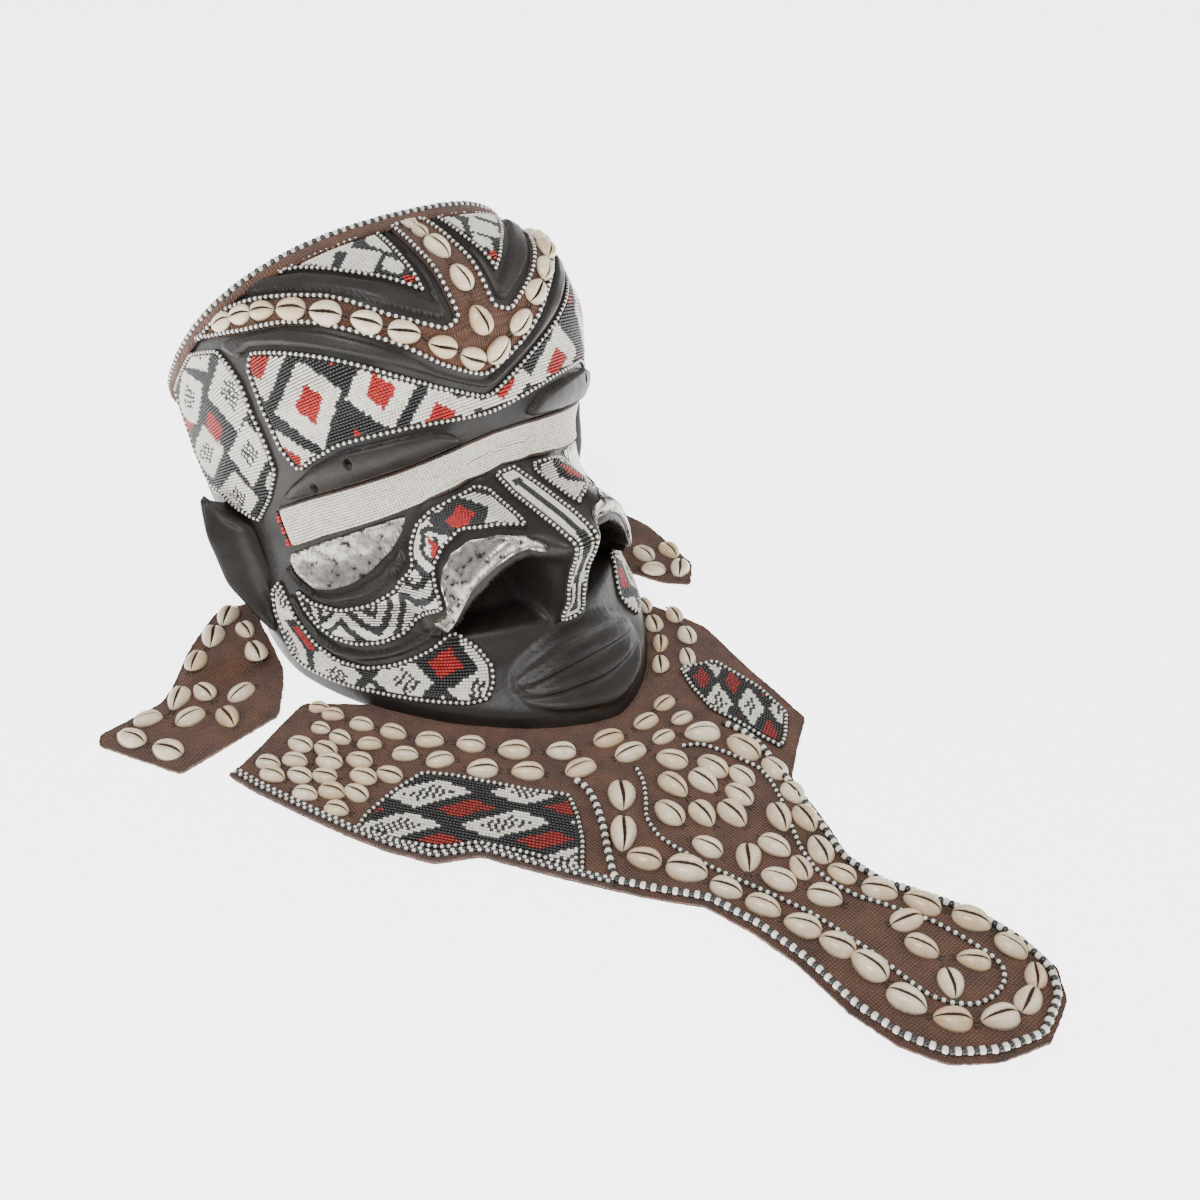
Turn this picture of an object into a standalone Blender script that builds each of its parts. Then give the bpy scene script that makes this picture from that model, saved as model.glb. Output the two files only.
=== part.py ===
# Carved helmet mask with bead panels, a cowrie strip, metal eye plates and a raffia bib.
# The mask faces -Y and stands on its lower rim. Sizes below are millimetres.
import math

import bmesh
import bpy
from mathutils import Vector

for old in list(bpy.data.objects):
    bpy.data.objects.remove(old, do_unlink=True)

MM = 0.001
GAP = 0.35

# The head is a fan of upright oval sections. All section planes meet in one level line
# behind the mask, on the table, at HINGE. The first plane is the table, the last is the
# slanting rim of the crown.
HINGE = 438.0
RIM_ANGLE = 46.9
# station angle, reach to the front, to the widest place, to the back,
# half width on the mask's right, on its left, roundness in front, roundness behind
STATIONS = [
    (0.0, 447, 273, 110, 132, 116, 1.60, 2.0),
    (1.5, 443, 272, 110, 132, 116, 1.60, 2.0),
    (3.0, 424, 268, 111, 132, 116, 1.68, 2.0),
    (5.0, 408, 263, 112, 131, 116, 1.72, 2.0),
    (7.5, 399, 256, 113, 131, 116, 1.75, 2.0),
    (11.0, 377, 244, 116, 130, 117, 1.80, 2.1),
    (16.0, 356, 230, 119, 129, 119, 1.85, 2.2),
    (21.0, 352, 222, 121, 129, 122, 2.0, 2.2),
    (26.0, 361, 217, 124, 129, 130, 2.3, 2.3),
    (30.0, 370, 214, 127, 128, 133, 2.5, 2.3),
    (35.0, 386, 213, 130, 127, 130, 2.6, 2.3),
    (39.0, 384, 214, 132, 126, 126, 2.65, 2.3),
    (43.0, 371, 215, 134, 125, 120, 2.6, 2.3),
    (46.9, 354, 216, 135, 124, 113, 2.5, 2.3),
]
WALL_FRONT = 21.0
WALL_SIDE = 13.0
WALL_BACK = 13.0

# front edge of the flared nostrils: distance from the middle, angle, reach
ARCH = [(0, 14.2, 406), (20, 14.6, 408), (31, 14.9, 408), (40, 14.5, 405),
        (51, 13.3, 398), (59, 11.9, 391), (68, 9.6, 382), (74, 8.8, 375)]
# ridge of the nose, over its tip and down to the lip: angle, reach
NOSE_RIDGE = [(6.8, 400), (8.0, 404), (9.5, 409), (11, 412), (13, 419), (14.5, 427),
              (15.4, 430), (16.5, 418), (18, 394), (19.5, 372), (21, 358), (23, 355)]
MOUTH_HALF = 51.0

PANEL_THICK = 2.2
BAND_THICK = 2.6
METAL_THICK = 1.2
CLOTH_THICK = 1.6
RIDGE_HIGH = 3.2
BIB_THICK = 3.0

# columns and rows of the carved face, in degrees
SIDE_COLUMNS = [4.5, 9.5, 15, 21, 28, 35, 43, 52, 62, 73, 85, 99, 115, 134, 156, 180]
COLUMNS = [-a for a in reversed(SIDE_COLUMNS)] + [0] + SIDE_COLUMNS
ROWS = [0, 1.5, 2.8, 4.1, 5.5, 7.2, 9.2, 11.4, 13.2, 14.4, 15.4, 17.4, 20, 23.2, 26, 28.6,
        33, 38, 43, RIM_ANGLE]
INNER_ROWS = [0, 8, 18, 28, 38, RIM_ANGLE]


def station(table, at, col):
    # smooth curve through one column of a table, without overshoot
    xs = [row[0] for row in table]
    ys = [float(row[col]) for row in table]
    at = min(max(at, xs[0]), xs[-1])
    steps = [xs[i + 1] - xs[i] for i in range(len(xs) - 1)]
    rise = [(ys[i + 1] - ys[i]) / steps[i] for i in range(len(xs) - 1)]
    tang = [rise[0]]
    for i in range(1, len(xs) - 1):
        if rise[i - 1] * rise[i] <= 0:
            tang.append(0.0)
        else:
            tang.append(2 * rise[i - 1] * rise[i] / (rise[i - 1] + rise[i]))
    tang.append(rise[-1])
    k = 0
    while k < len(xs) - 2 and at > xs[k + 1]:
        k += 1
    t = (at - xs[k]) / steps[k]
    a = ys[k] * (1 + 2 * t) * (1 - t) ** 2 + steps[k] * tang[k] * t * (1 - t) ** 2
    b = ys[k + 1] * t * t * (3 - 2 * t) + steps[k] * tang[k + 1] * t * t * (t - 1)
    return a + b


def ease(t):
    t = min(max(t, 0.0), 1.0)
    return t * t * (3 - 2 * t)


def oval(turn, angle, front_in=0.0, side_in=0.0, back_in=0.0):
    # one point of an upright oval section: sideways distance and reach from the hinge
    front, mid, back, right, left, round_f, round_b = [
        station(STATIONS, angle, c) for c in range(1, 8)]
    c = math.cos(math.radians(turn))
    s = math.sin(math.radians(turn))
    n = round_f if c >= 0 else round_b
    half = (right if s < 0 else left) - side_in
    x = half * math.copysign(abs(s) ** (2 / n), s)
    span = (front - front_in - mid) if c >= 0 else (back + back_in - mid)
    return x, mid + span * abs(c) ** (2 / n)


def carved(x, turn, angle, reach):
    # the nose, its nostrils, the mouth and the brows, as extra reach over the plain oval
    ax = abs(x)
    edge = station(ARCH, ax, 1)
    high = station(ARCH, ax, 2)
    fall = min(max((angle - edge - 2.0) / 5.0, 0.0), 1.0)
    wing = max(high - reach, 0.0) * (1 - fall) ** 1.6 * (1 - ease((ax - 70) / 9.0))
    on = ease((angle - edge + 0.9) / 0.9)
    hollow = ease((angle - 7.4) / 1.4) * (1 - on) * ease((ax - 12) / 7.0)
    hollow *= 1 - ease((ax - 58) / 12.0)
    out = reach + wing * on - 13 * hollow
    if 6.8 < angle < 23:
        soft = 4.0 + 12.0 * ease((angle - 8) / 7.0)
        ridge = max(station(NOSE_RIDGE, angle, 1) - out, 0.0)
        out += ridge * (1 - ease((ax - 10) / soft))
    if ax < MOUTH_HALF:
        half = 2.7 * math.sqrt(1 - (ax / MOUTH_HALF) ** 1.7)
        v = (angle - 4.15 + 1.3 * (ax / MOUTH_HALF) ** 2) / max(half, 0.01)
        if abs(v) < 1:
            swell = 1 - v * v
            out += 10 * math.sqrt(swell) * (1 - (ax / MOUTH_HALF) ** 4)
            out += 1.6 * math.cos(v * math.pi * 3.5) * swell
    at = abs(turn)
    brow = math.exp(-((angle - 26.0) / 1.3) ** 2)
    out += 5 * brow * ease((at - 5) / 8.0) * (1 - ease((at - 52) / 10.0))
    return out


def in_space(x, reach, angle):
    a = math.radians(angle)
    return Vector((x, HINGE - reach * math.cos(a), reach * math.sin(a)))


def outer_point(turn, angle):
    x, reach = oval(turn, angle)
    if math.cos(math.radians(turn)) >= 0:
        reach = carved(x, turn, angle, reach)
    return in_space(x, reach, angle)


def inner_point(turn, angle):
    x, reach = oval(turn, angle, WALL_FRONT, WALL_SIDE, WALL_BACK)
    return in_space(x, reach, angle)


GRID = [[outer_point(u, p) for u in COLUMNS] for p in ROWS]


def facet_normal(a, b, c):
    return (b - a).cross(c - a).normalized()


def way_out(i, j):
    # the way out of the wood at one crossing of the grid, long enough to clear its facets
    last = len(COLUMNS) - 1
    right = j + 1 if j < last else 1
    left = j - 1 if j > 0 else last - 1
    here = GRID[i][j]
    found = []
    if i < len(ROWS) - 1:
        found.append(facet_normal(here, GRID[i][right], GRID[i + 1][right]))
        found.append(facet_normal(here, GRID[i + 1][right], GRID[i + 1][j]))
        found.append(facet_normal(here, GRID[i + 1][j], GRID[i][left]))
    if i > 0:
        found.append(facet_normal(here, GRID[i][left], GRID[i - 1][left]))
        found.append(facet_normal(here, GRID[i - 1][left], GRID[i - 1][j]))
        found.append(facet_normal(here, GRID[i - 1][j], GRID[i][right]))
    mean = sum(found, Vector((0, 0, 0))).normalized()
    return mean / max(min(mean.dot(n) for n in found), 0.5)


NORMALS = [[way_out(i, j) for j in range(len(COLUMNS))] for i in range(len(ROWS))]


def on_facets(turn, angle, lift):
    # the point of the faceted wood at one turn and angle, raised by lift
    j = 0
    while j < len(COLUMNS) - 2 and turn > COLUMNS[j + 1]:
        j += 1
    i = 0
    while i < len(ROWS) - 2 and angle > ROWS[i + 1]:
        i += 1
    s = (turn - COLUMNS[j]) / (COLUMNS[j + 1] - COLUMNS[j])
    t = (angle - ROWS[i]) / (ROWS[i + 1] - ROWS[i])
    if s >= t:
        parts = [(i, j, 1 - s), (i, j + 1, s - t), (i + 1, j + 1, t)]
    else:
        parts = [(i, j, 1 - t), (i + 1, j, t - s), (i + 1, j + 1, s)]
    spot = Vector((0, 0, 0))
    way = Vector((0, 0, 0))
    for a, b, w in parts:
        spot += GRID[a][b] * w
        way += NORMALS[a][b] * w
    return spot + way * lift


def material(name, colour, rough, metal=0.0):
    found = bpy.data.materials.get(name)
    if found:
        return found
    mat = bpy.data.materials.new(name)
    mat.use_nodes = True
    bsdf = mat.node_tree.nodes["Principled BSDF"]
    bsdf.inputs["Base Color"].default_value = (*colour, 1)
    bsdf.inputs["Roughness"].default_value = rough
    bsdf.inputs["Metallic"].default_value = metal
    return mat


def make(name, verts, faces, mat):
    mesh = bpy.data.meshes.new(name)
    mesh.from_pydata([Vector(v) * MM for v in verts], [], faces)
    mesh.validate()
    obj = bpy.data.objects.new(name, mesh)
    bpy.context.scene.collection.objects.link(obj)
    if mat:
        mesh.materials.append(mat)
    close_up(obj)
    return obj


def close_up(obj, merge=0.00002):
    bm = bmesh.new()
    bm.from_mesh(obj.data)
    bmesh.ops.remove_doubles(bm, verts=bm.verts, dist=merge)
    bmesh.ops.dissolve_degenerate(bm, dist=merge, edges=bm.edges)
    bmesh.ops.recalc_face_normals(bm, faces=bm.faces)
    bm.to_mesh(obj.data)
    bm.free()


def combine(target, tools, how):
    # one exact boolean for each tool, which is then removed
    for tool in tools:
        mod = target.modifiers.new("cut", "BOOLEAN")
        mod.operation = how
        mod.solver = "EXACT"
        mod.object = tool
        tool.hide_render = True
        tool.display_type = "WIRE"
        graph = bpy.context.evaluated_depsgraph_get()
        graph.update()
        fresh = bpy.data.meshes.new_from_object(target.evaluated_get(graph))
        target.modifiers.clear()
        target.data = fresh
        bpy.data.objects.remove(tool, do_unlink=True)


def prism(points, low, high):
    # flat outline raised into a block, used in the flattened space of the face
    n = len(points)
    verts = [(x, y, low) for x, y in points] + [(x, y, high) for x, y in points]
    faces = [list(range(n - 1, -1, -1)), list(range(n, 2 * n))]
    for k in range(n):
        faces.append([k, (k + 1) % n, n + (k + 1) % n, n + k])
    return verts, faces


def flat_block(cols, rows, low, high):
    # block with the facets of the face laid out flat: turn, angle and a level
    nc = len(cols)
    nr = len(rows)
    half = nc * nr
    verts = [(c, r, level) for level in (low, high) for r in rows for c in cols]
    faces = []
    for i in range(nr - 1):
        for j in range(nc - 1):
            a = i * nc + j
            b, c, d = a + 1, a + nc + 1, a + nc
            faces += [[a, c, b], [a, d, c]]
            faces += [[half + a, half + b, half + c], [half + a, half + c, half + d]]
    ring = [j for j in range(nc)] + [i * nc + nc - 1 for i in range(1, nr)]
    ring += [(nr - 1) * nc + j for j in range(nc - 2, -1, -1)]
    ring += [i * nc for i in range(nr - 2, 0, -1)]
    for a, b in zip(ring, ring[1:] + ring[:1]):
        faces.append([a, b, half + b, half + a])
    return make("flat block", [Vector(v) / MM for v in verts], faces, None)


def cut_out(outline, low, high):
    # the part of the flat facets inside an outline given in turn and angle
    us = [p[0] for p in outline]
    ps = [p[1] for p in outline]
    cols = [c for c in COLUMNS if min(us) - 24 <= c <= max(us) + 24]
    rows = [r for r in ROWS if min(ps) - 6 <= r <= max(ps) + 6]
    block = flat_block(cols, rows, low, high)
    verts, faces = prism(outline, low - 1.0, high + 1.0)
    cutter = make("outline cutter", [Vector(v) / MM for v in verts], faces, None)
    combine(block, [cutter], "INTERSECT")
    return block


def slab(name, outline, low, high, mat):
    # plate of even thickness following the facets of the wood
    flat = cut_out(outline, 0.0, 1.0)
    verts = [on_facets(v.co.x, v.co.y, low + (high - low) * v.co.z)
             for v in flat.data.vertices]
    faces = [list(f.vertices) for f in flat.data.polygons]
    bpy.data.objects.remove(flat, do_unlink=True)
    return make(name, verts, faces, mat)


def other_side(turn, angle):
    # the place on the mask's left that matches one on its right, which is a little wider
    right = station(STATIONS, angle, 4)
    left = station(STATIONS, angle, 5)
    if abs(turn) >= 90:
        return -turn, angle
    x = abs(oval(-abs(turn), angle)[0])
    x *= 1 + (left / right - 1) * (x / right) ** 4
    bend = station(STATIONS, angle, 6) / 2
    return math.degrees(math.asin((x / left) ** bend)) * (-1 if turn > 0 else 1), angle


def mirrored(points):
    return [other_side(u, p) for u, p in reversed(points)]


def both_sides(points):
    # outline of one half, from the middle line round to the middle line, made whole
    return points + mirrored([p for p in points if p[0] != 0])


WOOD = material("carved wood", (0.045, 0.038, 0.034), 0.38)
RAFFIA = material("brown raffia", (0.16, 0.068, 0.035), 0.95)
BEADS = material("white and black beads", (0.72, 0.69, 0.62), 0.35)
SHEET = material("tinned metal", (0.62, 0.60, 0.55), 0.32, 1.0)

# Outlines on the head, as turn round the head and angle up the fan, for the mask's right
# side. The left side is its mirror image.
FOREHEAD = both_sides([
    (0, 28.5), (-5, 29.7), (-12, 31.2), (-22, 33.2), (-30, 34.9), (-39, 36.9), (-48, 38.7),
    (-57, 40.4), (-61, 39.0), (-61.5, 34.5), (-58.5, 30), (-54, 26.8), (-48, 27.6),
    (-40, 28.3), (-30, 28.1), (-20, 27.7), (-10, 27.1), (0, 26.6)])
TEMPLE = [(-66.5, 43.3), (-64.5, 38), (-64.5, 34.3), (-62, 30.6), (-61, 27.6), (-66, 24.3),
          (-73, 21.4), (-82, 23.4), (-90, 26.4), (-96, 30.5), (-98, 36), (-97, 42),
          (-93, 46.3), (-77, 46.3), (-73, 45.2)]
CROWN = [(-36, 46.3), (-30, 45.4), (-24, 43.7), (-19, 42.2), (-14, 40.8), (-10, 39.4),
         (-6.6, 38.3), (-6.2, 40.7), (-5.8, 43.3), (-5.8, 46.3)]
STRIP = [(-3.1, 46.4), (-3.1, 40.5), (-3.2, 35.6), (-6, 35.1), (-11, 36.3), (-17, 37.8),
         (-22, 39.4), (-28, 41.2), (-36, 43.1), (-45, 45), (-54, 46.4), (-71, 46.4),
         (-66, 44.8), (-60, 43.4), (-54, 42.2), (-44, 40.7), (-34, 38.8), (-26, 36.8),
         (-18, 34.7), (-10, 32.5), (-4, 31.1), (0, 30.2)]
LOW_RIDGE = both_sides([
    (0, 29.8), (-4, 30.7), (-10, 32.1), (-18, 34.3), (-26, 36.4), (-34, 38.4), (-44, 40.3),
    (-54, 41.8), (-62, 43.4), (-65, 42.6), (-62.5, 40.6), (-57, 40.9), (-48, 39.2),
    (-39, 37.4), (-30, 35.4), (-22, 33.7), (-12, 31.7), (-5, 30.2), (0, 29.0)])
HIGH_RIDGE = [(-4.2, 46.5), (-4.3, 41), (-4.4, 36.1), (-6, 35.7), (-11, 36.9), (-17, 38.4),
              (-22, 40), (-28, 41.8), (-36, 43.7), (-45, 45.6), (-49, 46.5), (-39, 46.5),
              (-30, 44.7), (-24, 43), (-19, 41.5), (-14, 40.1), (-9, 38.5), (-5.6, 37.3),
              (-5.3, 40.7), (-5.0, 46.5)]
BROW_BAND = both_sides([
    (0, 24.7), (-12, 24.5), (-26, 24.1), (-41, 23.9), (-52, 23.7), (-64, 23), (-67, 17.5),
    (-52, 18.9), (-36, 19.6), (-24, 20.2), (-10, 21), (0, 21.5)])
EYE = [(-65, 16.9), (-52, 18.1), (-36, 18.9), (-29, 19.2), (-32, 17.5), (-37, 15.6),
       (-44, 14), (-51, 12.9), (-58, 12.4), (-63, 12.5), (-66.5, 14), (-67, 15.6)]
EYE_RIDGE = [(-26.5, 19.3), (-28, 18.9), (-31, 17.1), (-36, 15.2), (-43.5, 13.6),
             (-51, 12.5), (-58, 12), (-64, 12.1), (-67.5, 13.6), (-70, 12.6), (-67, 11.2),
             (-58, 10.9), (-50, 11.2), (-42, 12.2), (-34.5, 14.7), (-29.5, 17), (-25.5, 18.4)]
CRESCENT = [(-67, 10.5), (-58, 10.4), (-50, 10.7), (-41, 11.8), (-34, 14.2), (-29, 16.6),
            (-24.5, 18.2), (-17, 19.7), (-9, 20.3), (-7, 19.9), (-9, 18.1), (-13, 17.6),
            (-19, 17.7), (-25, 17.1), (-29.5, 15.9), (-33.2, 14), (-35.6, 12), (-37.2, 10),
            (-40, 8.9), (-44, 8), (-52, 7.1), (-58, 6.8), (-64, 7.3), (-67.5, 8.6)]
CHEEK_RIDGE = [(-33.5, 9.2), (-38.5, 8.3), (-44, 7.4), (-52, 6.5), (-58.5, 6.2),
               (-65, 6.7), (-69.5, 8.3), (-71, 10.8), (-72.8, 11), (-72, 8), (-68, 5.8),
               (-61, 5.1), (-54, 5.5), (-48, 6.2), (-40, 7.4), (-34, 8.5)]
CHEEK = [(-74.5, 13), (-82, 11.2), (-87, 8.1), (-88.5, 4.8), (-86, 2.3), (-81, 2), (-70, 2),
         (-60, 2.1), (-48, 2.3), (-39, 2.5), (-33.5, 2.8), (-31, 4.6), (-31, 5.9),
         (-33.5, 7), (-36.5, 7.3), (-40, 6.8), (-48, 5.7), (-54, 5), (-62, 4.5),
         (-69, 5.1), (-73.6, 7.8), (-74, 10.8)]
NOSE_STRIP = both_sides([
    (0, 20.9), (-3.6, 20.9), (-5.2, 19), (-5.6, 17), (-5.2, 15.4), (-4.6, 12.6),
    (-4.4, 9.4), (-5.6, 8.6), (-5.6, 7.5), (-3, 7.2), (0, 7.1)])
NOSTRIL = [(-9.6, 14.9), (-14, 15.2), (-20, 15.3), (-26, 14.8), (-29.5, 13.9),
           (-31, 13.4), (-32, 13.6), (-30, 14.8), (-26, 16.2), (-20, 16.8), (-13, 16.5), (-9.6, 15.7)]

# outline of a cowrie for a length of one
SHELL_SHAPE = [(0.5, 0), (0.27, 0.33), (-0.27, 0.33), (-0.5, 0), (-0.27, -0.33),
               (0.27, -0.33)]


def cowrie(spot, way, up, long):
    # closed low body of one cowrie, its foot sunk a little into the cloth
    side = up.cross(way)
    verts = [spot + (way * a + side * b) * long - up * 0.7 for a, b in SHELL_SHAPE]
    verts += [spot + way * (0.17 * long) + up * (0.36 * long),
              spot - way * (0.17 * long) + up * (0.36 * long)]
    faces = [[5, 4, 3, 2, 1, 0], [0, 1, 6], [1, 2, 7, 6], [2, 3, 7], [3, 4, 7],
             [4, 5, 6, 7], [5, 0, 6]]
    return verts, faces


def sewn(cloth, bodies):
    # one closed body of the cloth and all its cowries
    verts = []
    faces = []
    for v, f in bodies:
        faces += [[len(verts) + k for k in face] for face in f]
        verts += v
    combine(cloth, [make("cowries", verts, faces, None)], "UNION")
    close_up(cloth)


def along(path, gap, start=0.0):
    # evenly spaced places on a path, each with the direction of the path there
    out = []
    left = start
    for (x0, y0), (x1, y1) in zip(path, path[1:]):
        size = math.hypot(x1 - x0, y1 - y0)
        while left <= size:
            t = left / size
            out.append((x0 + (x1 - x0) * t, y0 + (y1 - y0) * t,
                        math.atan2(y1 - y0, x1 - x0)))
            left += gap
        left -= size
    return out


def cord(name, path, wide, low, high, mat, closed=False):
    # square cord following a flat path, standing on the cloth
    n = len(path)
    verts = []
    for k, (x, y) in enumerate(path):
        a = path[(k - 1) % n] if (closed or k > 0) else path[k]
        b = path[(k + 1) % n] if (closed or k < n - 1) else path[k]
        d = Vector((b[0] - a[0], b[1] - a[1], 0)).normalized()
        side = Vector((-d.y, d.x, 0)) * wide / 2
        spot = Vector((x, y, 0))
        for off, z in ((side, low), (-side, low), (-side * 0.6, high), (side * 0.6, high)):
            verts.append(spot + off + Vector((0, 0, z)))
    faces = []
    for k in range(n if closed else n - 1):
        a = 4 * k
        b = 4 * ((k + 1) % n)
        for e in range(4):
            f = (e + 1) % 4
            faces.append([a + e, a + f, b + f, b + e])
    if not closed:
        faces.append([0, 1, 2, 3])
        faces.append([4 * n - 1, 4 * n - 2, 4 * n - 3, 4 * n - 4])
    return make(name, verts, faces, mat)


def loft(rings):
    # closed body through rings of equal size
    n = len(rings[0])
    verts = [p for ring in rings for p in ring]
    faces = [list(range(n - 1, -1, -1))]
    for k in range(len(rings) - 1):
        for e in range(n):
            f = (e + 1) % n
            faces.append([k * n + e, k * n + f, (k + 1) * n + f, (k + 1) * n + e])
    last = (len(rings) - 1) * n
    faces.append([last + e for e in range(n)])
    return verts, faces


# wooden helmet
def wooden_shell(ridge_lines):
    # the ridges are joined on while the face lies flat, then all of it is bent round
    flat = flat_block(COLUMNS, ROWS, -1.0, 0.0)
    combine(flat, [cut_out(line, -0.5, 1.0) for line in ridge_lines], "UNION")
    verts = [on_facets(v.co.x, v.co.y, RIDGE_HIGH * max(v.co.z, 0.0))
             for v in flat.data.vertices]
    faces = [list(f.vertices) for f in flat.data.polygons
             if min(flat.data.vertices[v].co.z for v in f.vertices) > -0.01]
    bpy.data.objects.remove(flat, do_unlink=True)
    nc = len(COLUMNS)
    inner = len(verts)
    for p in INNER_ROWS:
        verts += [inner_point(u, p) for u in COLUMNS]
    foot = len(verts)
    verts += GRID[0]
    rim = len(verts)
    verts += GRID[-1]
    inner_rim = inner + (len(INNER_ROWS) - 1) * nc
    for j in range(nc - 1):
        k = j + 1
        for i in range(len(INNER_ROWS) - 1):
            a = inner + i * nc
            faces.append([a + j, a + nc + j, a + nc + k, a + k])
        faces.append([foot + j, inner + j, inner + k, foot + k])
        faces.append([rim + j, rim + k, inner_rim + k, inner_rim + j])
    return make("carved_wood_helmet", verts, faces, WOOD)


# level sections of the ear of the mask's right side: height, rim (x, y), where the section
# starts behind and ends in front (y), and how far out its foot lies (x)
EAR = [(107, -149, 223, 229, 217, -144), (98, -152, 215, 236, 209, -138),
       (87, -154, 209, 239, 202, -125), (75, -153, 205, 234, 196, -125),
       (60, -152, 200, 222, 190, -125), (44, -146, 194, 208, 187, -125),
       (30, -140, 191, 203, 186, -125), (17, -133, 191, 199, 187, -125),
       (8, -127, 193, 197, 189, -125)]
# shares of the way from behind to the rim, or from the rim to the front, and of the reach
EAR_BEHIND = [(0.0, 0.0), (0.45, 0.55), (0.85, 0.97)]
EAR_BEFORE = [(0.0, 1.0), (0.14, 0.9), (0.32, 0.45), (0.62, 0.32), (0.86, 0.26), (1.0, 0.0)]


def ear(side):
    rings = []
    for z, rim_x, rim_y, behind, before, foot in EAR:
        ring = [(foot + (rim_x - foot) * out, behind + (rim_y - behind) * part)
                for part, out in EAR_BEHIND]
        ring += [(foot + (rim_x - foot) * out, rim_y + (before - rim_y) * part)
                 for part, out in EAR_BEFORE]
        if side < 0:
            # the left half of the head is a little narrower
            angle = math.degrees(math.atan2(z, HINGE - rim_y))
            wider = station(STATIONS, angle, 5) - station(STATIONS, angle, 4)
            ring = [(wider - x, y) for x, y in ring]
        rings.append([Vector((x, y, z)) for x, y in ring])
    verts, faces = loft(rings)
    return make("ear", verts, faces, None)


def brow_bore(side, turn, angle):
    spot = on_facets(side * turn, angle, 6.0)
    deep = on_facets(side * turn, angle, -7.0)
    axis = (deep - spot).normalized()
    across = axis.cross(Vector((0, 0, 1))).normalized()
    other = axis.cross(across)
    rings = []
    for centre in (spot, deep):
        ring = []
        for k in range(8):
            a = math.radians(45 * k)
            ring.append(centre + across * 2.4 * math.cos(a) + other * 2.4 * math.sin(a))
        rings.append(ring)
    verts, faces = loft(rings)
    return make("bore", verts, faces, None)


helmet = wooden_shell([LOW_RIDGE, HIGH_RIDGE, mirrored(HIGH_RIDGE), EYE_RIDGE,
                       mirrored(EYE_RIDGE), CHEEK_RIDGE, mirrored(CHEEK_RIDGE)])
combine(helmet, [ear(1), ear(-1)], "UNION")
bores = [brow_bore(side, turn, angle)
         for side in (-1, 1) for turn, angle in ((39, 26.6), (50, 25.2))]
combine(helmet, bores, "DIFFERENCE")
close_up(helmet)

# bead panels, plates and the band
HIGH = GAP + PANEL_THICK
slab("forehead_bead_panel", FOREHEAD, GAP, HIGH, BEADS)
slab("brow_bead_band", BROW_BAND, GAP, GAP + BAND_THICK, BEADS)
slab("nose_bead_strip", NOSE_STRIP, GAP, HIGH, BEADS)
for tag, turned in (("right", lambda pts: pts), ("left", mirrored)):
    slab("temple_bead_panel_" + tag, turned(TEMPLE), GAP, HIGH, BEADS)
    slab("crown_bead_panel_" + tag, turned(CROWN), GAP, HIGH, BEADS)
    slab("under_eye_bead_panel_" + tag, turned(CRESCENT), GAP, HIGH, BEADS)
    slab("cheek_bead_panel_" + tag, turned(CHEEK), GAP, HIGH, BEADS)
    slab("eye_plate_" + tag, turned(EYE), GAP, GAP + METAL_THICK, SHEET)
    slab("nostril_plate_" + tag, turned(NOSTRIL), 2 * GAP, 2 * GAP + METAL_THICK, SHEET)


# raffia strip with cowries over the forehead
def strip_cowrie(turn, angle, turn2, angle2, long):
    # one cowrie on the head, lying from one place towards another
    spot = on_facets((turn + turn2) / 2, (angle + angle2) / 2, GAP + CLOTH_THICK)
    way = (on_facets(turn2, angle2, 0) - on_facets(turn, angle, 0)).normalized()
    up = on_facets((turn + turn2) / 2, (angle + angle2) / 2, 12) - spot
    up = (up - way * up.dot(way)).normalized()
    return cowrie(spot, way, up, long)


ARM = [(-4.5, 32.9), (-11.5, 34.7), (-19, 36.9), (-27, 39), (-36, 41.1), (-46, 43.1),
       (-57, 44.9)]
MIDDLE = [31.3, 34.3, 37.6, 41, 44.2]
strip = slab("crown_cowrie_strip", both_sides(STRIP), GAP, GAP + CLOTH_THICK, RAFFIA)
shells = []
for side in (-1, 1):
    for (u0, p0), (u1, p1) in zip(ARM, ARM[1:]):
        shells.append(strip_cowrie(-side * u0, p0, -side * u1, p1, 18.0))
for p0, p1 in zip(MIDDLE, MIDDLE[1:]):
    shells.append(strip_cowrie(0, p0, 0, p1, 18.0))
sewn(strip, shells)


# cloth binding and bead string round the slanting rim
def rim_ring(name, count, inner, outer, low, high, mat):
    tilt = math.radians(RIM_ANGLE)
    away = Vector((0, math.sin(tilt), math.cos(tilt)))
    verts = []
    for k in range(count):
        turn = -180 + 360.0 * k / count
        for extra, lift in ((inner, low), (outer, low), (outer, high), (inner, high)):
            x, reach = oval(turn, RIM_ANGLE, -extra, -extra, -extra)
            verts.append(in_space(x, reach, RIM_ANGLE) + away * lift)
    faces = []
    for k in range(count):
        a = 4 * k
        b = 4 * ((k + 1) % count)
        for e in range(4):
            f = (e + 1) % 4
            faces.append([a + e, b + e, b + f, a + f])
    return make(name, verts, faces, mat)


rim_ring("rim_cloth_binding", 30, -16.0, 2.2, GAP, GAP + 3.2, RAFFIA)
rim_ring("rim_bead_string", 30, -0.4, 2.2, GAP + 3.55, GAP + 6.0, BEADS)

# raffia bib: two wings beside the chin and a long tongue, lying on the table
BIB_OUTER = [(-146, 128), (-211, 97), (-206, 78), (-194, 44), (-182, 12), (-170, -14),
             (-156, -36), (-134, -48), (-116, -78), (-94, -112), (-80, -132), (-64, -152),
             (-57, -180), (-54, -209), (-56, -242), (-52, -269), (-42, -290), (-22, -305),
             (4, -314), (30, -306), (43, -292), (46, -270), (43, -246), (33, -222),
             (22, -200), (20, -178), (30, -150), (41, -116), (62, -101), (87, -85),
             (94, -31), (104, 22), (92, 66)]


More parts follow.
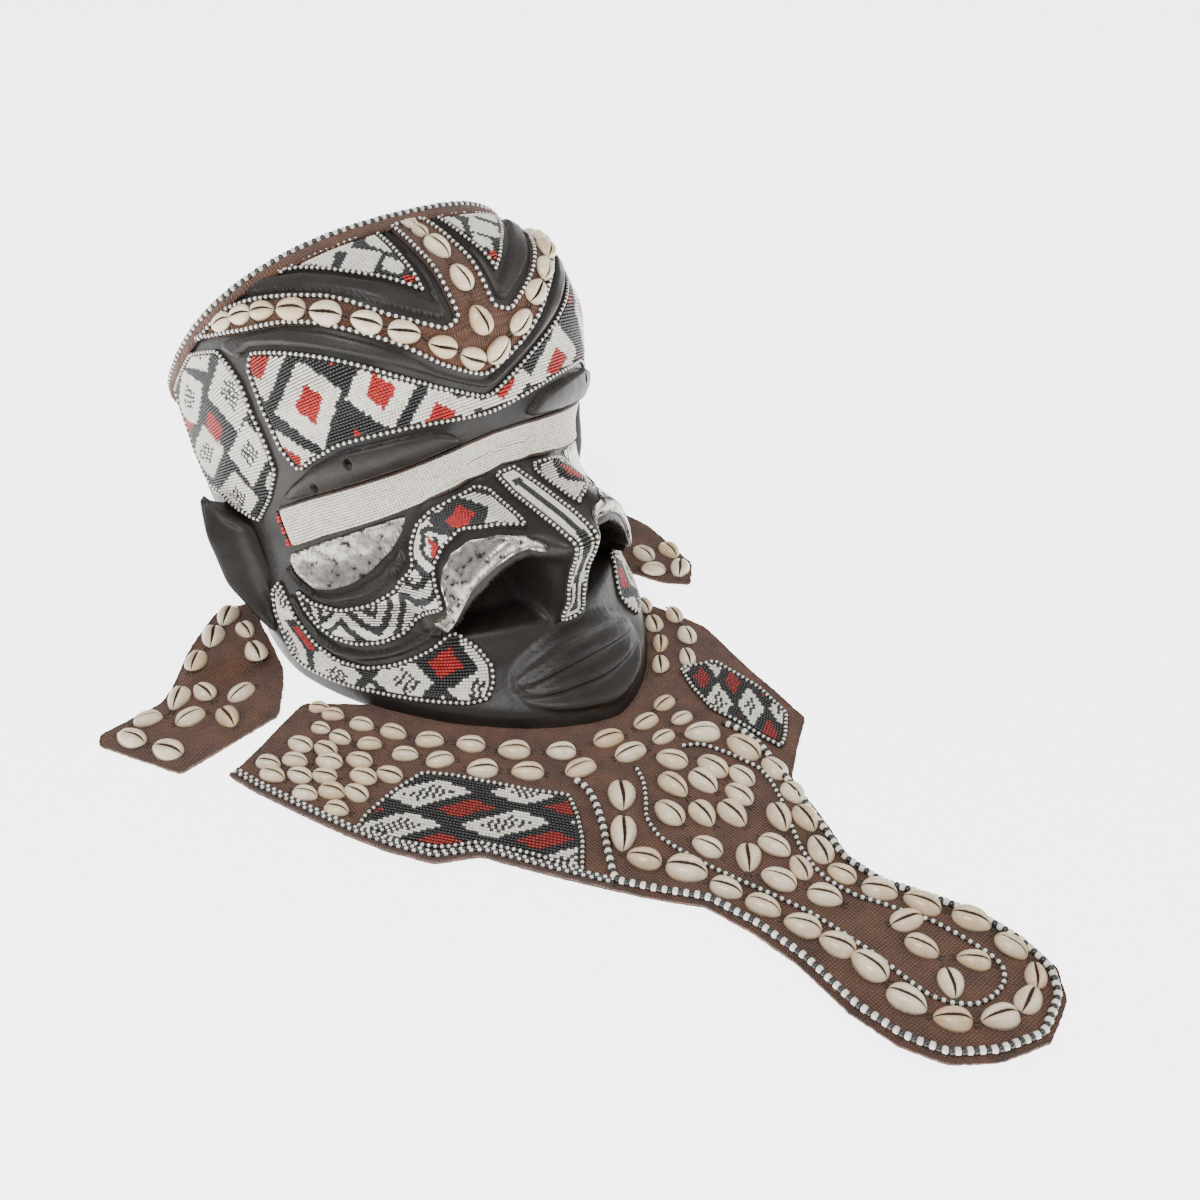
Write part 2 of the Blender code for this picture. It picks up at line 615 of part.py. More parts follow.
def chin_edge():
    # the lower rim of the wood, a hair outside it, from the left side to the right
    pts = []
    for j in range(len(COLUMNS)):
        if -66 <= COLUMNS[j] <= 52:
            p = GRID[0][j] + NORMALS[0][j] * 0.6
            pts.append((p.x, p.y))
    return list(reversed(pts))


def inset(path, gap):
    # path moved to its own left by a gap
    out = []
    n = len(path)
    for k in range(n):
        a = path[max(k - 1, 0)]
        b = path[min(k + 1, n - 1)]
        d = Vector((b[0] - a[0], b[1] - a[1], 0)).normalized()
        out.append((path[k][0] - d.y * gap, path[k][1] + d.x * gap))
    return out


TONGUE = BIB_OUTER[9:27]
BORDER = ([(-60, -40), (-63, -55), (-69, -70), (-79, -86), (-88, -100)] + inset(TONGUE, 4.5)
          + [(45, -88), (41, -60), (38, -42)])
INNER_LINE = [(13, -58), (27, -80), (29, -100), (22, -122), (9, -145), (2, -160), (-2, -185),
              (7, -209), (15, -230), (20, -250), (20, -268), (13, -279), (2, -280),
              (-9, -274), (-16, -262), (-19, -245), (-20, -225), (-23, -200), (-29, -172),
              (-37, -152), (-45, -130), (-48, -115), (-48, -95), (-40, -78), (-27, -60)]
WING_RIGHT = [(-128, 28), (-178, 10), (-164, -14), (-149, -32), (-131, -42), (-114, -67),
              (-99, -95), (-84, -77), (-74, -60), (-68, -44), (-82, -28), (-96, -8),
              (-110, 12)]
WING_LEFT = [(58, 0), (82, -10), (85, -48), (80, -77), (64, -91), (53, -97), (51, -86),
             (48, -58), (45, -44), (50, -20)]


def inside(x, y, outline):
    # whether a place lies inside an outline
    found = False
    for (x0, y0), (x1, y1) in zip(outline, outline[1:] + outline[:1]):
        if (y0 > y) != (y1 > y) and x < (x1 - x0) * (y - y0) / (y1 - y0) + x0:
            found = not found
    return found


def nearest(x, y, path):
    # distance from a place to a path
    best = 1e9
    for (x0, y0), (x1, y1) in zip(path, path[1:]):
        dx, dy = x1 - x0, y1 - y0
        t = ((x - x0) * dx + (y - y0) * dy) / (dx * dx + dy * dy)
        t = min(max(t, 0.0), 1.0)
        best = min(best, math.hypot(x - x0 - dx * t, y - y0 - dy * t))
    return best


def shell_corners(shell, grow):
    # outline of one cowrie on the cloth, with the middles of its sides
    x, y, way, long = shell
    c, s = math.cos(way), math.sin(way)
    out = []
    for a, b in SHELL_SHAPE:
        a, b = a * (long + grow), b * (long + grow)
        out.append((x + a * c - b * s, y + a * s + b * c))
    middles = [((x0 + x1) / 2, (y0 + y1) / 2)
               for (x0, y0), (x1, y1) in zip(out, out[1:] + out[:1])]
    return out, middles


def fits(shell, others, walls):
    # whether a cowrie keeps clear of the cords, the panels, the hem and its neighbours
    mine, middles = shell_corners(shell, 0.8)
    for path, room in walls:
        if any(nearest(x, y, path) < room for x, y in mine + middles):
            return False
    for other in others:
        if math.hypot(shell[0] - other[0], shell[1] - other[1]) > 26:
            continue
        theirs, their_middles = shell_corners(other, 0.8)
        if any(inside(x, y, theirs) for x, y in mine + middles):
            return False
        if any(inside(x, y, mine) for x, y in theirs + their_middles):
            return False
    return True


def flat_cowrie(x, y, way, long):
    direction = Vector((math.cos(way), math.sin(way), 0))
    return cowrie(Vector((x, y, BIB_THICK)), direction, Vector((0, 0, 1)), long)


def sew_on(wanted, walls, panels, cloth):
    kept = []
    for shell in wanted:
        x, y = shell[0], shell[1]
        if not inside(x, y, cloth) or any(inside(x, y, p) for p in panels):
            continue
        if fits(shell, kept, walls):
            kept.append(shell)
    return kept


# cowries of the bib: rows along the tongue, the chin and in the fields between
chin = list(reversed(chin_edge()))
wanted = [(x, y, way, 21.0) for x, y, way in along(inset(TONGUE, 18.0), 22.5, 3.0)]
for away, first in ((-13, 10.0), (-30, 18.0)):
    wanted += [(x, y, way, 19.5) for x, y, way in along(inset(chin, away), 24.5, first)]
for row in range(6):
    for k in range(4):
        x = -198 + 13.5 * row + 6 * k
        y = 81 - 24.5 * k - 12.5 * (row % 2) + row
        wanted.append((x, y, math.radians(114), 19.5))
for row in range(4):
    for k in range(4):
        wanted.append((-30 + 16 * k + 7 * (row % 2), -75 - 21 * row, math.radians(92), 21.5))
for row in range(3):
    for k in range(3):
        wanted.append((-24 + 16 * k - 4 * row, -150 - 21.5 * row, math.radians(112), 19.5))
for x, y, way in ((0, -240, 111), (-6, -260, 68), (11, -262, 120)):
    wanted.append((x, y, math.radians(way), 18.0))
bib_line = BIB_OUTER + chin_edge()
walls = [(bib_line + bib_line[:1], 1.2), (BORDER, 2.8), (INNER_LINE, 2.0),
         (WING_RIGHT + WING_RIGHT[:1], 1.3), (WING_LEFT + WING_LEFT[:1], 1.3)]
bib_shells = sew_on(wanted, walls, [WING_RIGHT, WING_LEFT], bib_line)
bib = make("bib_cloth", *prism(bib_line, 0, BIB_THICK), RAFFIA)
sewn(bib, [flat_cowrie(*shell) for shell in bib_shells])

on_bib = BIB_THICK + GAP
for tag, outline in (("right", WING_RIGHT), ("left", WING_LEFT)):
    verts, faces = prism(outline, on_bib, on_bib + 2.2)
    make("wing_bead_panel_" + tag, verts, faces, BEADS)
cord("beard_bead_border", BORDER, 4.0, on_bib, on_bib + 3.6, BEADS)
cord("beard_inner_bead_line", INNER_LINE, 2.4, on_bib, on_bib + 2.0, BEADS)

# side flaps of raffia, each running down from behind the ear to the table
FLAP_RIGHT = [(-124, 236), (-133, 205), (-138, 170), (-146, 154), (-163, 128), (-232, 118),
              (-260, 173), (-256, 181), (-214, 186), (-150, 240)]
FLAP_LEFT = [(112, 222), (117, 190), (121, 165), (118, 130), (108, 106), (118, 80),
             (132, 66), (150, 84), (160, 140), (150, 222)]
FLAP_RISE = 9.0


def flap(name, outline, spots):
    # the cloth rises a little where it passes under the ear
    cloth = make(name, *prism(outline, 0, BIB_THICK), RAFFIA)
    border = [(outline + outline[:1], 1.0)]
    sewn(cloth, [flat_cowrie(*shell) for shell in sew_on(spots, border, [], outline)])
    for v in cloth.data.vertices:
        near = ease((156 - abs(v.co.x / MM)) / 26.0) * ease((v.co.y / MM - 150) / 30.0)
        v.co.z += FLAP_RISE * near * MM


def flower(x, y, turn, long):
    # four cowries meeting at one place
    out = []
    for k in range(4):
        way = math.radians(turn + 90 * k)
        out.append((x + 13 * math.cos(way), y + 13 * math.sin(way), way, long))
    return out


spots = flower(-196, 150, 20, 17)
spots += [(x, y, way, 18.0) for x, y, way in along(inset(FLAP_RIGHT[4:10], 9.0), 22.5, 8.0)]
flap("side_flap_right", FLAP_RIGHT, spots)
spots = [(x, y, way, 18.0) for x, y, way in along(inset(FLAP_LEFT[4:10], 9.0), 22.5, 8.0)]
flap("side_flap_left", FLAP_LEFT, spots)

# the middle of the part's box stands on the origin
low = Vector((1e9, 1e9, 1e9))
top = Vector((-1e9, -1e9, -1e9))
bodies = [o for o in bpy.context.scene.objects if o.type == "MESH"]
for body in bodies:
    for v in body.data.vertices:
        low = Vector([min(a, b) for a, b in zip(low, v.co)])
        top = Vector([max(a, b) for a, b in zip(top, v.co)])
shift = Vector(((low.x + top.x) / 2, (low.y + top.y) / 2, low.z))
for body in bodies:
    for v in body.data.vertices:
        v.co -= shift
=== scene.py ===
import math

import bpy
import numpy as np
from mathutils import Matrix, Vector
from mathutils.geometry import delaunay_2d_cdt


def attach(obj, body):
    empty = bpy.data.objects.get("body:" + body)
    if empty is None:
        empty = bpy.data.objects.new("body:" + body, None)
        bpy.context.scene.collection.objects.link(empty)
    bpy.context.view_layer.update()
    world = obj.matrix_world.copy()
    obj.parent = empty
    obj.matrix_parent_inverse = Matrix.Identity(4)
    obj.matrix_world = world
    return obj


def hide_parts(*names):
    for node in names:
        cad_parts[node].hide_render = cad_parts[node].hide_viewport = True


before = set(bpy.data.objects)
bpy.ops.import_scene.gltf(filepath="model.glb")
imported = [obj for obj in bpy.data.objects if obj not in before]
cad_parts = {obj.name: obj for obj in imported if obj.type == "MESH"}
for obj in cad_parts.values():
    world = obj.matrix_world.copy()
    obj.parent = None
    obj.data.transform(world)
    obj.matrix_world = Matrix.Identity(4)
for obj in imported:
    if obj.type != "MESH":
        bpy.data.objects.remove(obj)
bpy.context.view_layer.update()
rng = np.random.default_rng(11)

MM = 0.001
PLACE = np.array([50.0, -18.95, 0.0])

# ---- the head, as in the part's source
HINGE = 438.0
RIM_ANGLE = 46.9
# angle, reach to the front, to the widest place, to the back,
# half width on the mask's right, on its left, roundness in front, roundness behind
STATIONS = np.array([
    (0.0, 447, 273, 110, 132, 116, 1.60, 2.0),
    (1.5, 443, 272, 110, 132, 116, 1.60, 2.0),
    (3.0, 424, 268, 111, 132, 116, 1.68, 2.0),
    (5.0, 408, 263, 112, 131, 116, 1.72, 2.0),
    (7.5, 399, 256, 113, 131, 116, 1.75, 2.0),
    (11.0, 377, 244, 116, 130, 117, 1.80, 2.1),
    (16.0, 356, 230, 119, 129, 119, 1.85, 2.2),
    (21.0, 352, 222, 121, 129, 122, 2.0, 2.2),
    (26.0, 361, 217, 124, 129, 130, 2.3, 2.3),
    (30.0, 370, 214, 127, 128, 133, 2.5, 2.3),
    (35.0, 386, 213, 130, 127, 130, 2.6, 2.3),
    (39.0, 384, 214, 132, 126, 126, 2.65, 2.3),
    (43.0, 371, 215, 134, 125, 120, 2.6, 2.3),
    (46.9, 354, 216, 135, 124, 113, 2.5, 2.3)])
WALL_FRONT = 21.0
WALL_SIDE = 13.0
WALL_BACK = 13.0
# front edge of the flared nostrils: distance from the middle, angle, reach
ARCH = np.array([(0, 14.2, 406), (20, 14.6, 408), (31, 14.9, 408), (40, 14.5, 405),
                 (51, 13.3, 398), (59, 11.9, 391), (68, 9.6, 382), (74, 8.8, 375)])
# ridge of the nose: angle, reach
NOSE_RIDGE = np.array([(6.8, 400), (8.0, 404), (9.5, 409), (11, 412), (13, 419), (14.5, 427),
                       (15.4, 430), (16.5, 418), (18, 394), (19.5, 372), (21, 358), (23, 355)])
MOUTH_HALF = 51.0
MOUTH_ANGLE = 4.15
MOUTH_RELIEF = 2.7
RIDGE_HIGH = 3.6


def curve(table, at, col):
    # smooth curve through one column of a table, without overshoot
    xs = table[:, 0].astype(float)
    ys = table[:, col].astype(float)
    steps = np.diff(xs)
    rise = np.diff(ys) / steps
    tang = np.concatenate(([rise[0]], np.zeros(len(xs) - 2), [rise[-1]]))
    a, b = rise[:-1], rise[1:]
    same = a * b > 0
    tang[1:-1] = np.where(same, 2 * a * b / np.where(same, a + b, 1.0), 0.0)
    at = np.clip(at, xs[0], xs[-1])
    k = np.clip(np.searchsorted(xs, at) - 1, 0, len(xs) - 2)
    t = (at - xs[k]) / steps[k]
    first = ys[k] * (1 + 2 * t) * (1 - t) ** 2 + steps[k] * tang[k] * t * (1 - t) ** 2
    second = ys[k + 1] * t * t * (3 - 2 * t) + steps[k] * tang[k + 1] * t * t * (t - 1)
    return first + second


def ease(t):
    t = np.clip(t, 0.0, 1.0)
    return t * t * (3 - 2 * t)


def oval(turn, angle, front_in=0.0, side_in=0.0, back_in=0.0):
    # upright oval section: sideways distance and reach from the hinge
    front, mid, back, right, left, round_f, round_b = [
        curve(STATIONS, angle, c) for c in range(1, 8)]
    c = np.cos(np.radians(turn))
    s = np.sin(np.radians(turn))
    n = np.where(c >= 0, round_f, round_b)
    half = np.where(s < 0, right, left) - side_in
    x = half * np.sign(s) * np.abs(s) ** (2 / n)
    span = np.where(c >= 0, front - front_in - mid, back + back_in - mid)
    return x, mid + span * np.abs(c) ** (2 / n)


def carved(x, turn, angle, reach):
    # the nose, its nostrils, the mouth and the brows, as extra reach over the plain oval
    ax = np.abs(x)
    edge = curve(ARCH, ax, 1)
    high = curve(ARCH, ax, 2)
    fall = np.clip((angle - edge - 2.0) / 5.0, 0.0, 1.0)
    wing = np.maximum(high - reach, 0.0) * (1 - fall) ** 1.6 * (1 - ease((ax - 70) / 9.0))
    on = ease((angle - edge + 0.9) / 0.9)
    hollow = ease((angle - 7.4) / 1.4) * (1 - on) * ease((ax - 12) / 7.0)
    hollow = hollow * (1 - ease((ax - 58) / 12.0))
    out = reach + wing * on - 15 * hollow
    soft = 4.0 + 12.0 * ease((angle - 8) / 7.0)
    ridge = np.maximum(curve(NOSE_RIDGE, angle, 1) - out, 0.0)
    ridge = ridge * (1 - ease((ax - 10) / soft))
    out = out + np.where((angle > 6.8) & (angle < 23), ridge, 0.0)
    share = np.clip(ax / MOUTH_HALF, 0, 1)
    half = 2.7 * np.sqrt(1 - share ** 1.7)
    v = (angle - MOUTH_ANGLE + 1.3 * share ** 2) / np.maximum(half, 0.01)
    swell = np.clip(1 - v * v, 0, 1)
    lips = 10 * np.sqrt(swell) * (1 - share ** 4)
    lips = lips - MOUTH_RELIEF * np.cos(v * math.pi * 4) * swell ** 0.6 * (1 - share ** 6)
    out = out + np.where((ax < MOUTH_HALF) & (np.abs(v) < 1), lips, 0.0)
    at = np.abs(turn)
    brow = np.exp(-((angle - 26.0) / 1.3) ** 2)
    return out + 3.5 * brow * ease((at - 5) / 8.0) * (1 - ease((at - 52) / 10.0))


def fan(x, reach, angle):
    a = np.radians(angle)
    return np.stack([x + 0 * reach, HINGE - reach * np.cos(a), reach * np.sin(a)], -1)


def head(turn, angle):
    turn = np.asarray(turn, float)
    angle = np.asarray(angle, float)
    x, reach = oval(turn, angle)
    full = carved(x, turn, angle, reach)
    return fan(x, np.where(np.cos(np.radians(turn)) >= 0, full, reach), angle)


def unit(v):
    return v / np.maximum(np.linalg.norm(v, axis=-1, keepdims=True), 1e-9)


def on_head(flat, lift=0.0):
    # places given as turn and angle, raised off the wood by lift
    turn, angle = flat[..., 0], flat[..., 1]
    across = head(turn + 0.7, angle) - head(turn - 0.7, angle)
    up = head(turn, angle + 0.2) - head(turn, angle - 0.2)
    lift = np.broadcast_to(np.asarray(lift, float), turn.shape)
    return head(turn, angle) + unit(np.cross(across, up)) * lift[..., None]


def on_table(flat, lift=0.0):
    lift = np.broadcast_to(np.asarray(lift, float), flat[..., 0].shape)
    return np.stack([flat[..., 0], flat[..., 1], lift], -1)


# ---- outlines on the head, as turn and angle, for the mask's right side
def other_side(points):
    # the places on the mask's left that match places on its right
    out = []
    for turn, angle in reversed(points):
        right = curve(STATIONS, angle, 4)
        left = curve(STATIONS, angle, 5)
        if abs(turn) >= 90:
            out.append((-turn, angle))
            continue
        x = abs(float(oval(np.array(-abs(turn)), np.array(angle))[0]))
        x *= 1 + (left / right - 1) * (x / right) ** 4
        bend = curve(STATIONS, angle, 6) / 2
        there = math.degrees(math.asin(min((x / left) ** bend, 1.0)))
        out.append((-there if turn > 0 else there, angle))
    return out


def both_sides(points):
    return points + other_side([p for p in points if p[0] != 0])


FOREHEAD = both_sides([
    (0, 28.5), (-5, 29.7), (-12, 31.2), (-22, 33.2), (-30, 34.9), (-39, 36.9), (-48, 38.7),
    (-57, 40.4), (-61, 39.0), (-61.5, 34.5), (-58.5, 30), (-54, 26.8), (-48, 27.6),
    (-40, 28.3), (-30, 28.1), (-20, 27.7), (-10, 27.1), (0, 26.6)])
TEMPLE = [(-66.5, 43.3), (-64.5, 38), (-64.5, 34.3), (-62, 30.6), (-61, 27.6), (-66, 24.3),
          (-73, 21.4), (-82, 23.4), (-90, 26.4), (-96, 30.5), (-98, 36), (-97, 42),
          (-93, 46.3), (-77, 46.3), (-73, 45.2)]
CROWN = [(-36, 46.3), (-30, 45.4), (-24, 43.7), (-19, 42.2), (-14, 40.8), (-10, 39.4),
         (-6.6, 38.3), (-6.2, 40.7), (-5.8, 43.3), (-5.8, 46.3)]
STRIP = [(-3.1, 46.4), (-3.1, 40.5), (-3.2, 35.6), (-6, 35.1), (-11, 36.3), (-17, 37.8),
         (-22, 39.4), (-28, 41.2), (-36, 43.1), (-45, 45), (-54, 46.4), (-71, 46.4),
         (-66, 44.8), (-60, 43.4), (-54, 42.2), (-44, 40.7), (-34, 38.8), (-26, 36.8),
         (-18, 34.7), (-10, 32.5), (-4, 31.1), (0, 30.2)]
LOW_RIDGE = both_sides([
    (0, 29.8), (-4, 30.7), (-10, 32.1), (-18, 34.3), (-26, 36.4), (-34, 38.4), (-44, 40.3),
    (-54, 41.8), (-62, 43.4), (-65, 42.6), (-62.5, 40.6), (-57, 40.9), (-48, 39.2),
    (-39, 37.4), (-30, 35.4), (-22, 33.7), (-12, 31.7), (-5, 30.2), (0, 29.0)])
HIGH_RIDGE = [(-4.2, 46.5), (-4.3, 41), (-4.4, 36.1), (-6, 35.7), (-11, 36.9), (-17, 38.4),
              (-22, 40), (-28, 41.8), (-36, 43.7), (-45, 45.6), (-49, 46.5), (-39, 46.5),
              (-30, 44.7), (-24, 43), (-19, 41.5), (-14, 40.1), (-9, 38.5), (-5.6, 37.3),
              (-5.3, 40.7), (-5.0, 46.5)]
BROW_LEAF = [(-9, 25.2), (-10, 26), (-14, 26.9), (-25, 27.4), (-40, 27.8), (-50, 27.1),
             (-57, 25.9), (-61, 24.7), (-58, 24), (-40, 24.4), (-22, 24.7)]
BAND_UP = np.array([(0, 24.7), (12, 24.5), (26, 24.1), (41, 23.9), (52, 23.7), (64, 23)])
BAND_DOWN = np.array([(0, 21.5), (10, 21), (24, 20.2), (36, 19.6), (52, 18.9), (67, 17.5)])
EYE = [(-65.5, 16.9), (-52, 18.2), (-37, 19.1), (-29.5, 19.3), (-31.5, 18), (-36.5, 16),
       (-44, 14.2), (-51, 13), (-58, 12.4), (-63.5, 12.4), (-66.8, 14), (-67.3, 15.6)]
EYE_RIDGE = [(-26.8, 19.4), (-30.8, 17.7), (-36, 15.6), (-43.6, 13.8), (-51, 12.6), (-58, 12),
             (-64, 12), (-67.6, 13.6), (-68.3, 15.4), (-70.3, 14.6), (-69.5, 12.9),
             (-66.8, 11.5), (-58.5, 10.8), (-50, 11.3), (-41.2, 12.6), (-35.7, 14.6),
             (-32.3, 16.7), (-28.9, 18.5), (-25.6, 19.5)]
CRESCENT = [(-70.3, 12.2), (-68.3, 12), (-66.5, 11), (-58.5, 10.4), (-50, 10.9), (-41, 12.2),
            (-35.3, 14.3), (-32, 16.4), (-28.5, 18.2), (-23.5, 19.4), (-17, 20.1),
            (-10, 20.4), (-7.6, 19.9), (-8.6, 17.6), (-10, 17), (-16, 17.6), (-23, 17.5),
            (-28, 16.2), (-31.5, 14.6), (-34, 12.8), (-36, 10.9), (-39, 9.4), (-44.5, 8.1),
            (-51.5, 7.1), (-59, 6.6), (-65, 6.9), (-69, 8), (-71, 9.8)]
CHEEK_RIDGE = [(-33.5, 9.3), (-38.5, 8.7), (-44.5, 7.6), (-52, 6.6), (-59, 6.1), (-65.5, 6.3),
               (-70, 7.5), (-72.3, 9.6), (-72.6, 11.5), (-74.3, 11.5), (-74.2, 9),
               (-71.8, 6.3), (-66.5, 5.1), (-59, 4.9), (-52, 5.5), (-46, 6.3), (-40, 7.3),
               (-34, 8.5)]
CHEEK = [(-75, 13.2), (-82, 11.4), (-87, 8.1), (-88.5, 4.8), (-86, 2.3), (-81, 1.8),
         (-70, 1.7), (-60, 1.9), (-48, 2), (-39, 2.1), (-33, 2.5), (-29, 3.6), (-27, 4.9),
         (-28.5, 6.6), (-31.5, 7.8), (-34.5, 8.1), (-40, 6.9), (-46, 5.9), (-52, 5.1),
         (-59, 4.5), (-66.5, 4.7), (-72.3, 6.2), (-75.2, 8.8), (-75.2, 11)]
NOSE_STRIP = both_sides([
    (0, 20.9), (-3.6, 20.9), (-5.2, 19), (-5.6, 17), (-5.2, 15.4), (-4.6, 12.6),
    (-4.4, 9.4), (-5.6, 8.6), (-5.6, 7.5), (-3, 7.2), (0, 7.1)])
NOSTRIL = [(-9.6, 15.2), (-14, 15.7), (-18, 15.7), (-22, 15.1), (-26, 14.2), (-29.5, 13),
           (-32.2, 11.4), (-34.6, 9.9), (-36.2, 8.9), (-37.4, 9.4), (-35.3, 11.2),
           (-33.4, 12.9), (-30.8, 14.5), (-27.8, 15.8), (-23.5, 16.8), (-18.5, 17.1),
           (-13, 16.7), (-9.6, 16)]
# drilled holes in each brow
BROW_HOLES = [(-39, 26.6), (-50, 25.2)]
HOLE_RADIUS = 2.2


# ---- mesh helpers. A body is its vertices and a list of (faces, material numbers).
def inside(points, outline):
    # which places lie inside an outline
    x, y = points[:, 0], points[:, 1]
    found = np.zeros(len(points), bool)
    for (x0, y0), (x1, y1) in zip(outline, np.roll(outline, -1, 0)):
        if y0 == y1:
            continue
        crossing = ((y0 > y) != (y1 > y)) & (x < (x1 - x0) * (y - y0) / (y1 - y0) + x0)
        found ^= crossing
    return found


def nearest(points, others):
    # distance from each place to the nearest of the others
    out = np.empty(len(points))
    for k in range(0, len(points), 2000):
        part = points[k:k + 2000, None, :] - others[None, :, :]
        out[k:k + 2000] = np.sqrt((part ** 2).sum(-1).min(1))
    return out


def dense(outline, place, step=1.3, soften=6, closed=True):
    # closely spaced outline with eased corners, running anticlockwise when closed
    pts = np.array(outline, float)
    nxt = np.roll(pts, -1, 0) if closed else pts[1:]
    out = []
    for a, b in zip(pts, nxt):
        size = np.linalg.norm(place(b[None])[0] - place(a[None])[0])
        n = max(int(math.ceil(size / step)), 1)
        out.append(a + (b - a) * (np.arange(n) / n)[:, None])
    if not closed:
        out.append(pts[-1:])
    out = np.concatenate(out)
    for _ in range(soften):
        mean = (np.roll(out, 1, 0) + 2 * out + np.roll(out, -1, 0)) / 4
        if not closed:
            mean[0], mean[-1] = out[0], out[-1]
        out = mean
    if closed:
        x, y = out[:, 0], out[:, 1]
        if (x * np.roll(y, -1) - y * np.roll(x, -1)).sum() < 0:
            out = out[::-1]
    return out


def moved_in(path, place, gap, closed=True):
    # flat path moved to its own left by a gap in millimetres on the surface
    if closed:
        ahead, behind = np.roll(path, -1, 0), np.roll(path, 1, 0)
    else:
        ahead = np.concatenate((path[1:], path[-1:]))
        behind = np.concatenate((path[:1], path[:-1]))
    h = 0.05
    pu = (place(path + [h, 0]) - place(path - [h, 0])) / (2 * h)
    pv = (place(path + [0, h]) - place(path - [0, h])) / (2 * h)
    d = ahead - behind
    along = pu * d[:, :1] + pv * d[:, 1:]
    up = unit(np.cross(pu, pv))
    want = unit(np.cross(up, along)) * gap
    uu, vv, uv = (pu * pu).sum(1), (pv * pv).sum(1), (pu * pv).sum(1)
    wu, wv = (want * pu).sum(1), (want * pv).sum(1)
    det = uu * vv - uv * uv
    return path + np.stack([(wu * vv - wv * uv) / det, (wv * uu - wu * uv) / det], 1)


def plate(outline, place, low, high, step, mat=0, mark=None):
    # closed body over a dense outline. low and high are functions of flat place and
    # distance from the edge
    n = len(outline)
    lo, hi = outline.min(0), outline.max(0)
    mid = (lo + hi) / 2
    h = 0.5
    across = np.linalg.norm(place(mid[None] + [h, 0]) - place(mid[None] - [h, 0]))
    upward = np.linalg.norm(place(mid[None] + [0, h]) - place(mid[None] - [0, h]))
    us = np.arange(lo[0], hi[0], step / across)
    vs = np.arange(lo[1], hi[1], step / upward)
    net = np.stack(np.meshgrid(us, vs), -1)
    net[1::2, :, 0] += 0.5 * step / across
    net = net.reshape(-1, 2)
    net = net[inside(net, outline)]
    edge = place(outline)
    net = net[nearest(place(net), edge) > 0.55 * step]
    pts = np.concatenate((outline, net))
    loop = [(k, (k + 1) % n) for k in range(n)]
    flat, _, tris, origin, _, _ = delaunay_2d_cdt(
        [Vector(p) for p in pts], loop, [], 1, 1e-7)
    flat = np.array([tuple(p) for p in flat])
    tris = np.array([t for t in tris if len(t) == 3])
    a, b, c = flat[tris[:, 0]], flat[tris[:, 1]], flat[tris[:, 2]]
    turn = (b - a)[:, 0] * (c - a)[:, 1] - (b - a)[:, 1] * (c - a)[:, 0]
    tris[turn < 0] = tris[turn < 0][:, ::-1]
    home = {}
    for k, ids in enumerate(origin):
        for i in ids:
            home[i] = k
    rim = [home[k] for k in range(n)]
    away = nearest(place(flat), edge)
    away[rim] = 0.0
    top = place(flat, high(flat, away))
    bottom = place(flat, low(flat, away))
    m = len(flat)
    ring = np.array(rim)
    ahead = np.roll(ring, -1)
    sides = np.stack([ring, ring + m, ahead + m, ahead], 1)
    tint = np.full(len(tris), mat) if mark is None else mark(flat[tris].mean(1))
    return (np.concatenate((top, bottom)),
            [(tris, tint), (tris[:, ::-1] + m, mat), (sides[:, ::-1], mat)])


def level(value):
    return lambda flat, away: np.full(len(flat), float(value))


def barrel(rings, sides):
    # bead template along x from rings of (place along, radius)
    t = np.arange(sides) * 2 * math.pi / sides
    verts = np.concatenate([np.stack([np.full(sides, a), r * np.cos(t), r * np.sin(t)], 1)
                            for a, r in rings])
    quads = []
    for k in range(len(rings) - 1):
        for e in range(sides):
            f = (e + 1) % sides
            quads.append([k * sides + e, k * sides + f, (k + 1) * sides + f,
                          (k + 1) * sides + e])
    last = (len(rings) - 1) * sides
    caps = [list(range(sides - 1, -1, -1)), [last + e for e in range(sides)]]
    return verts, [np.array(quads), np.array(caps)]


SEED = barrel([(-0.5, 0.76), (0.0, 1.05), (0.5, 0.76)], 5)
ROUND = barrel([(-0.5, 0.66), (-0.28, 1.0), (0.28, 1.0), (0.5, 0.66)], 6)


def copies(template, spots, axes, ups, size, mats):
    # the template at many places; size is (along, across, up) for each
    verts, blocks = template
    axes = unit(axes)
    ups = unit(ups - axes * (ups * axes).sum(1, keepdims=True))
    sides = np.cross(ups, axes)
    v = (spots[:, None]
         + verts[None, :, 0:1] * size[:, None, 0:1] * axes[:, None]
         + verts[None, :, 1:2] * size[:, None, 1:2] * sides[:, None]
         + verts[None, :, 2:3] * size[:, None, 2:3] * ups[:, None])
    step = (np.arange(len(spots)) * len(verts))[:, None, None]
    faces = []
    for block in blocks:
        f, own = block if isinstance(block, tuple) else (block, None)
        colour = np.repeat(mats, len(f)) if own is None else np.tile(own, len(spots))
        faces.append(((f[None] + step).reshape(-1, f.shape[1]), colour))
    return v.reshape(-1, 3), faces


def piece(name, bodies, materials, nodes=()):
    verts = []
    faces = []
    index = []
    base = 0
    for v, blocks in bodies:
        verts.append(v)
        for f, m in blocks:
            faces += (f + base).tolist()
            index.append(np.broadcast_to(np.asarray(m), (len(f),)))
        base += len(v)
    verts = (np.concatenate(verts) + PLACE) * MM
    mesh = bpy.data.meshes.new(name)
    mesh.from_pydata(verts.tolist(), [], faces)
    mesh.polygons.foreach_set("material_index", np.concatenate(index).astype(np.int32))
    mesh.polygons.foreach_set("use_smooth", np.ones(len(faces), bool))
    for mat in materials:
        mesh.materials.append(mat)
    mesh.update()
    obj = bpy.data.objects.new(name, mesh)
    bpy.context.scene.collection.objects.link(obj)
    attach(obj, "root")
    if nodes:
        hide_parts(*nodes)
    return obj


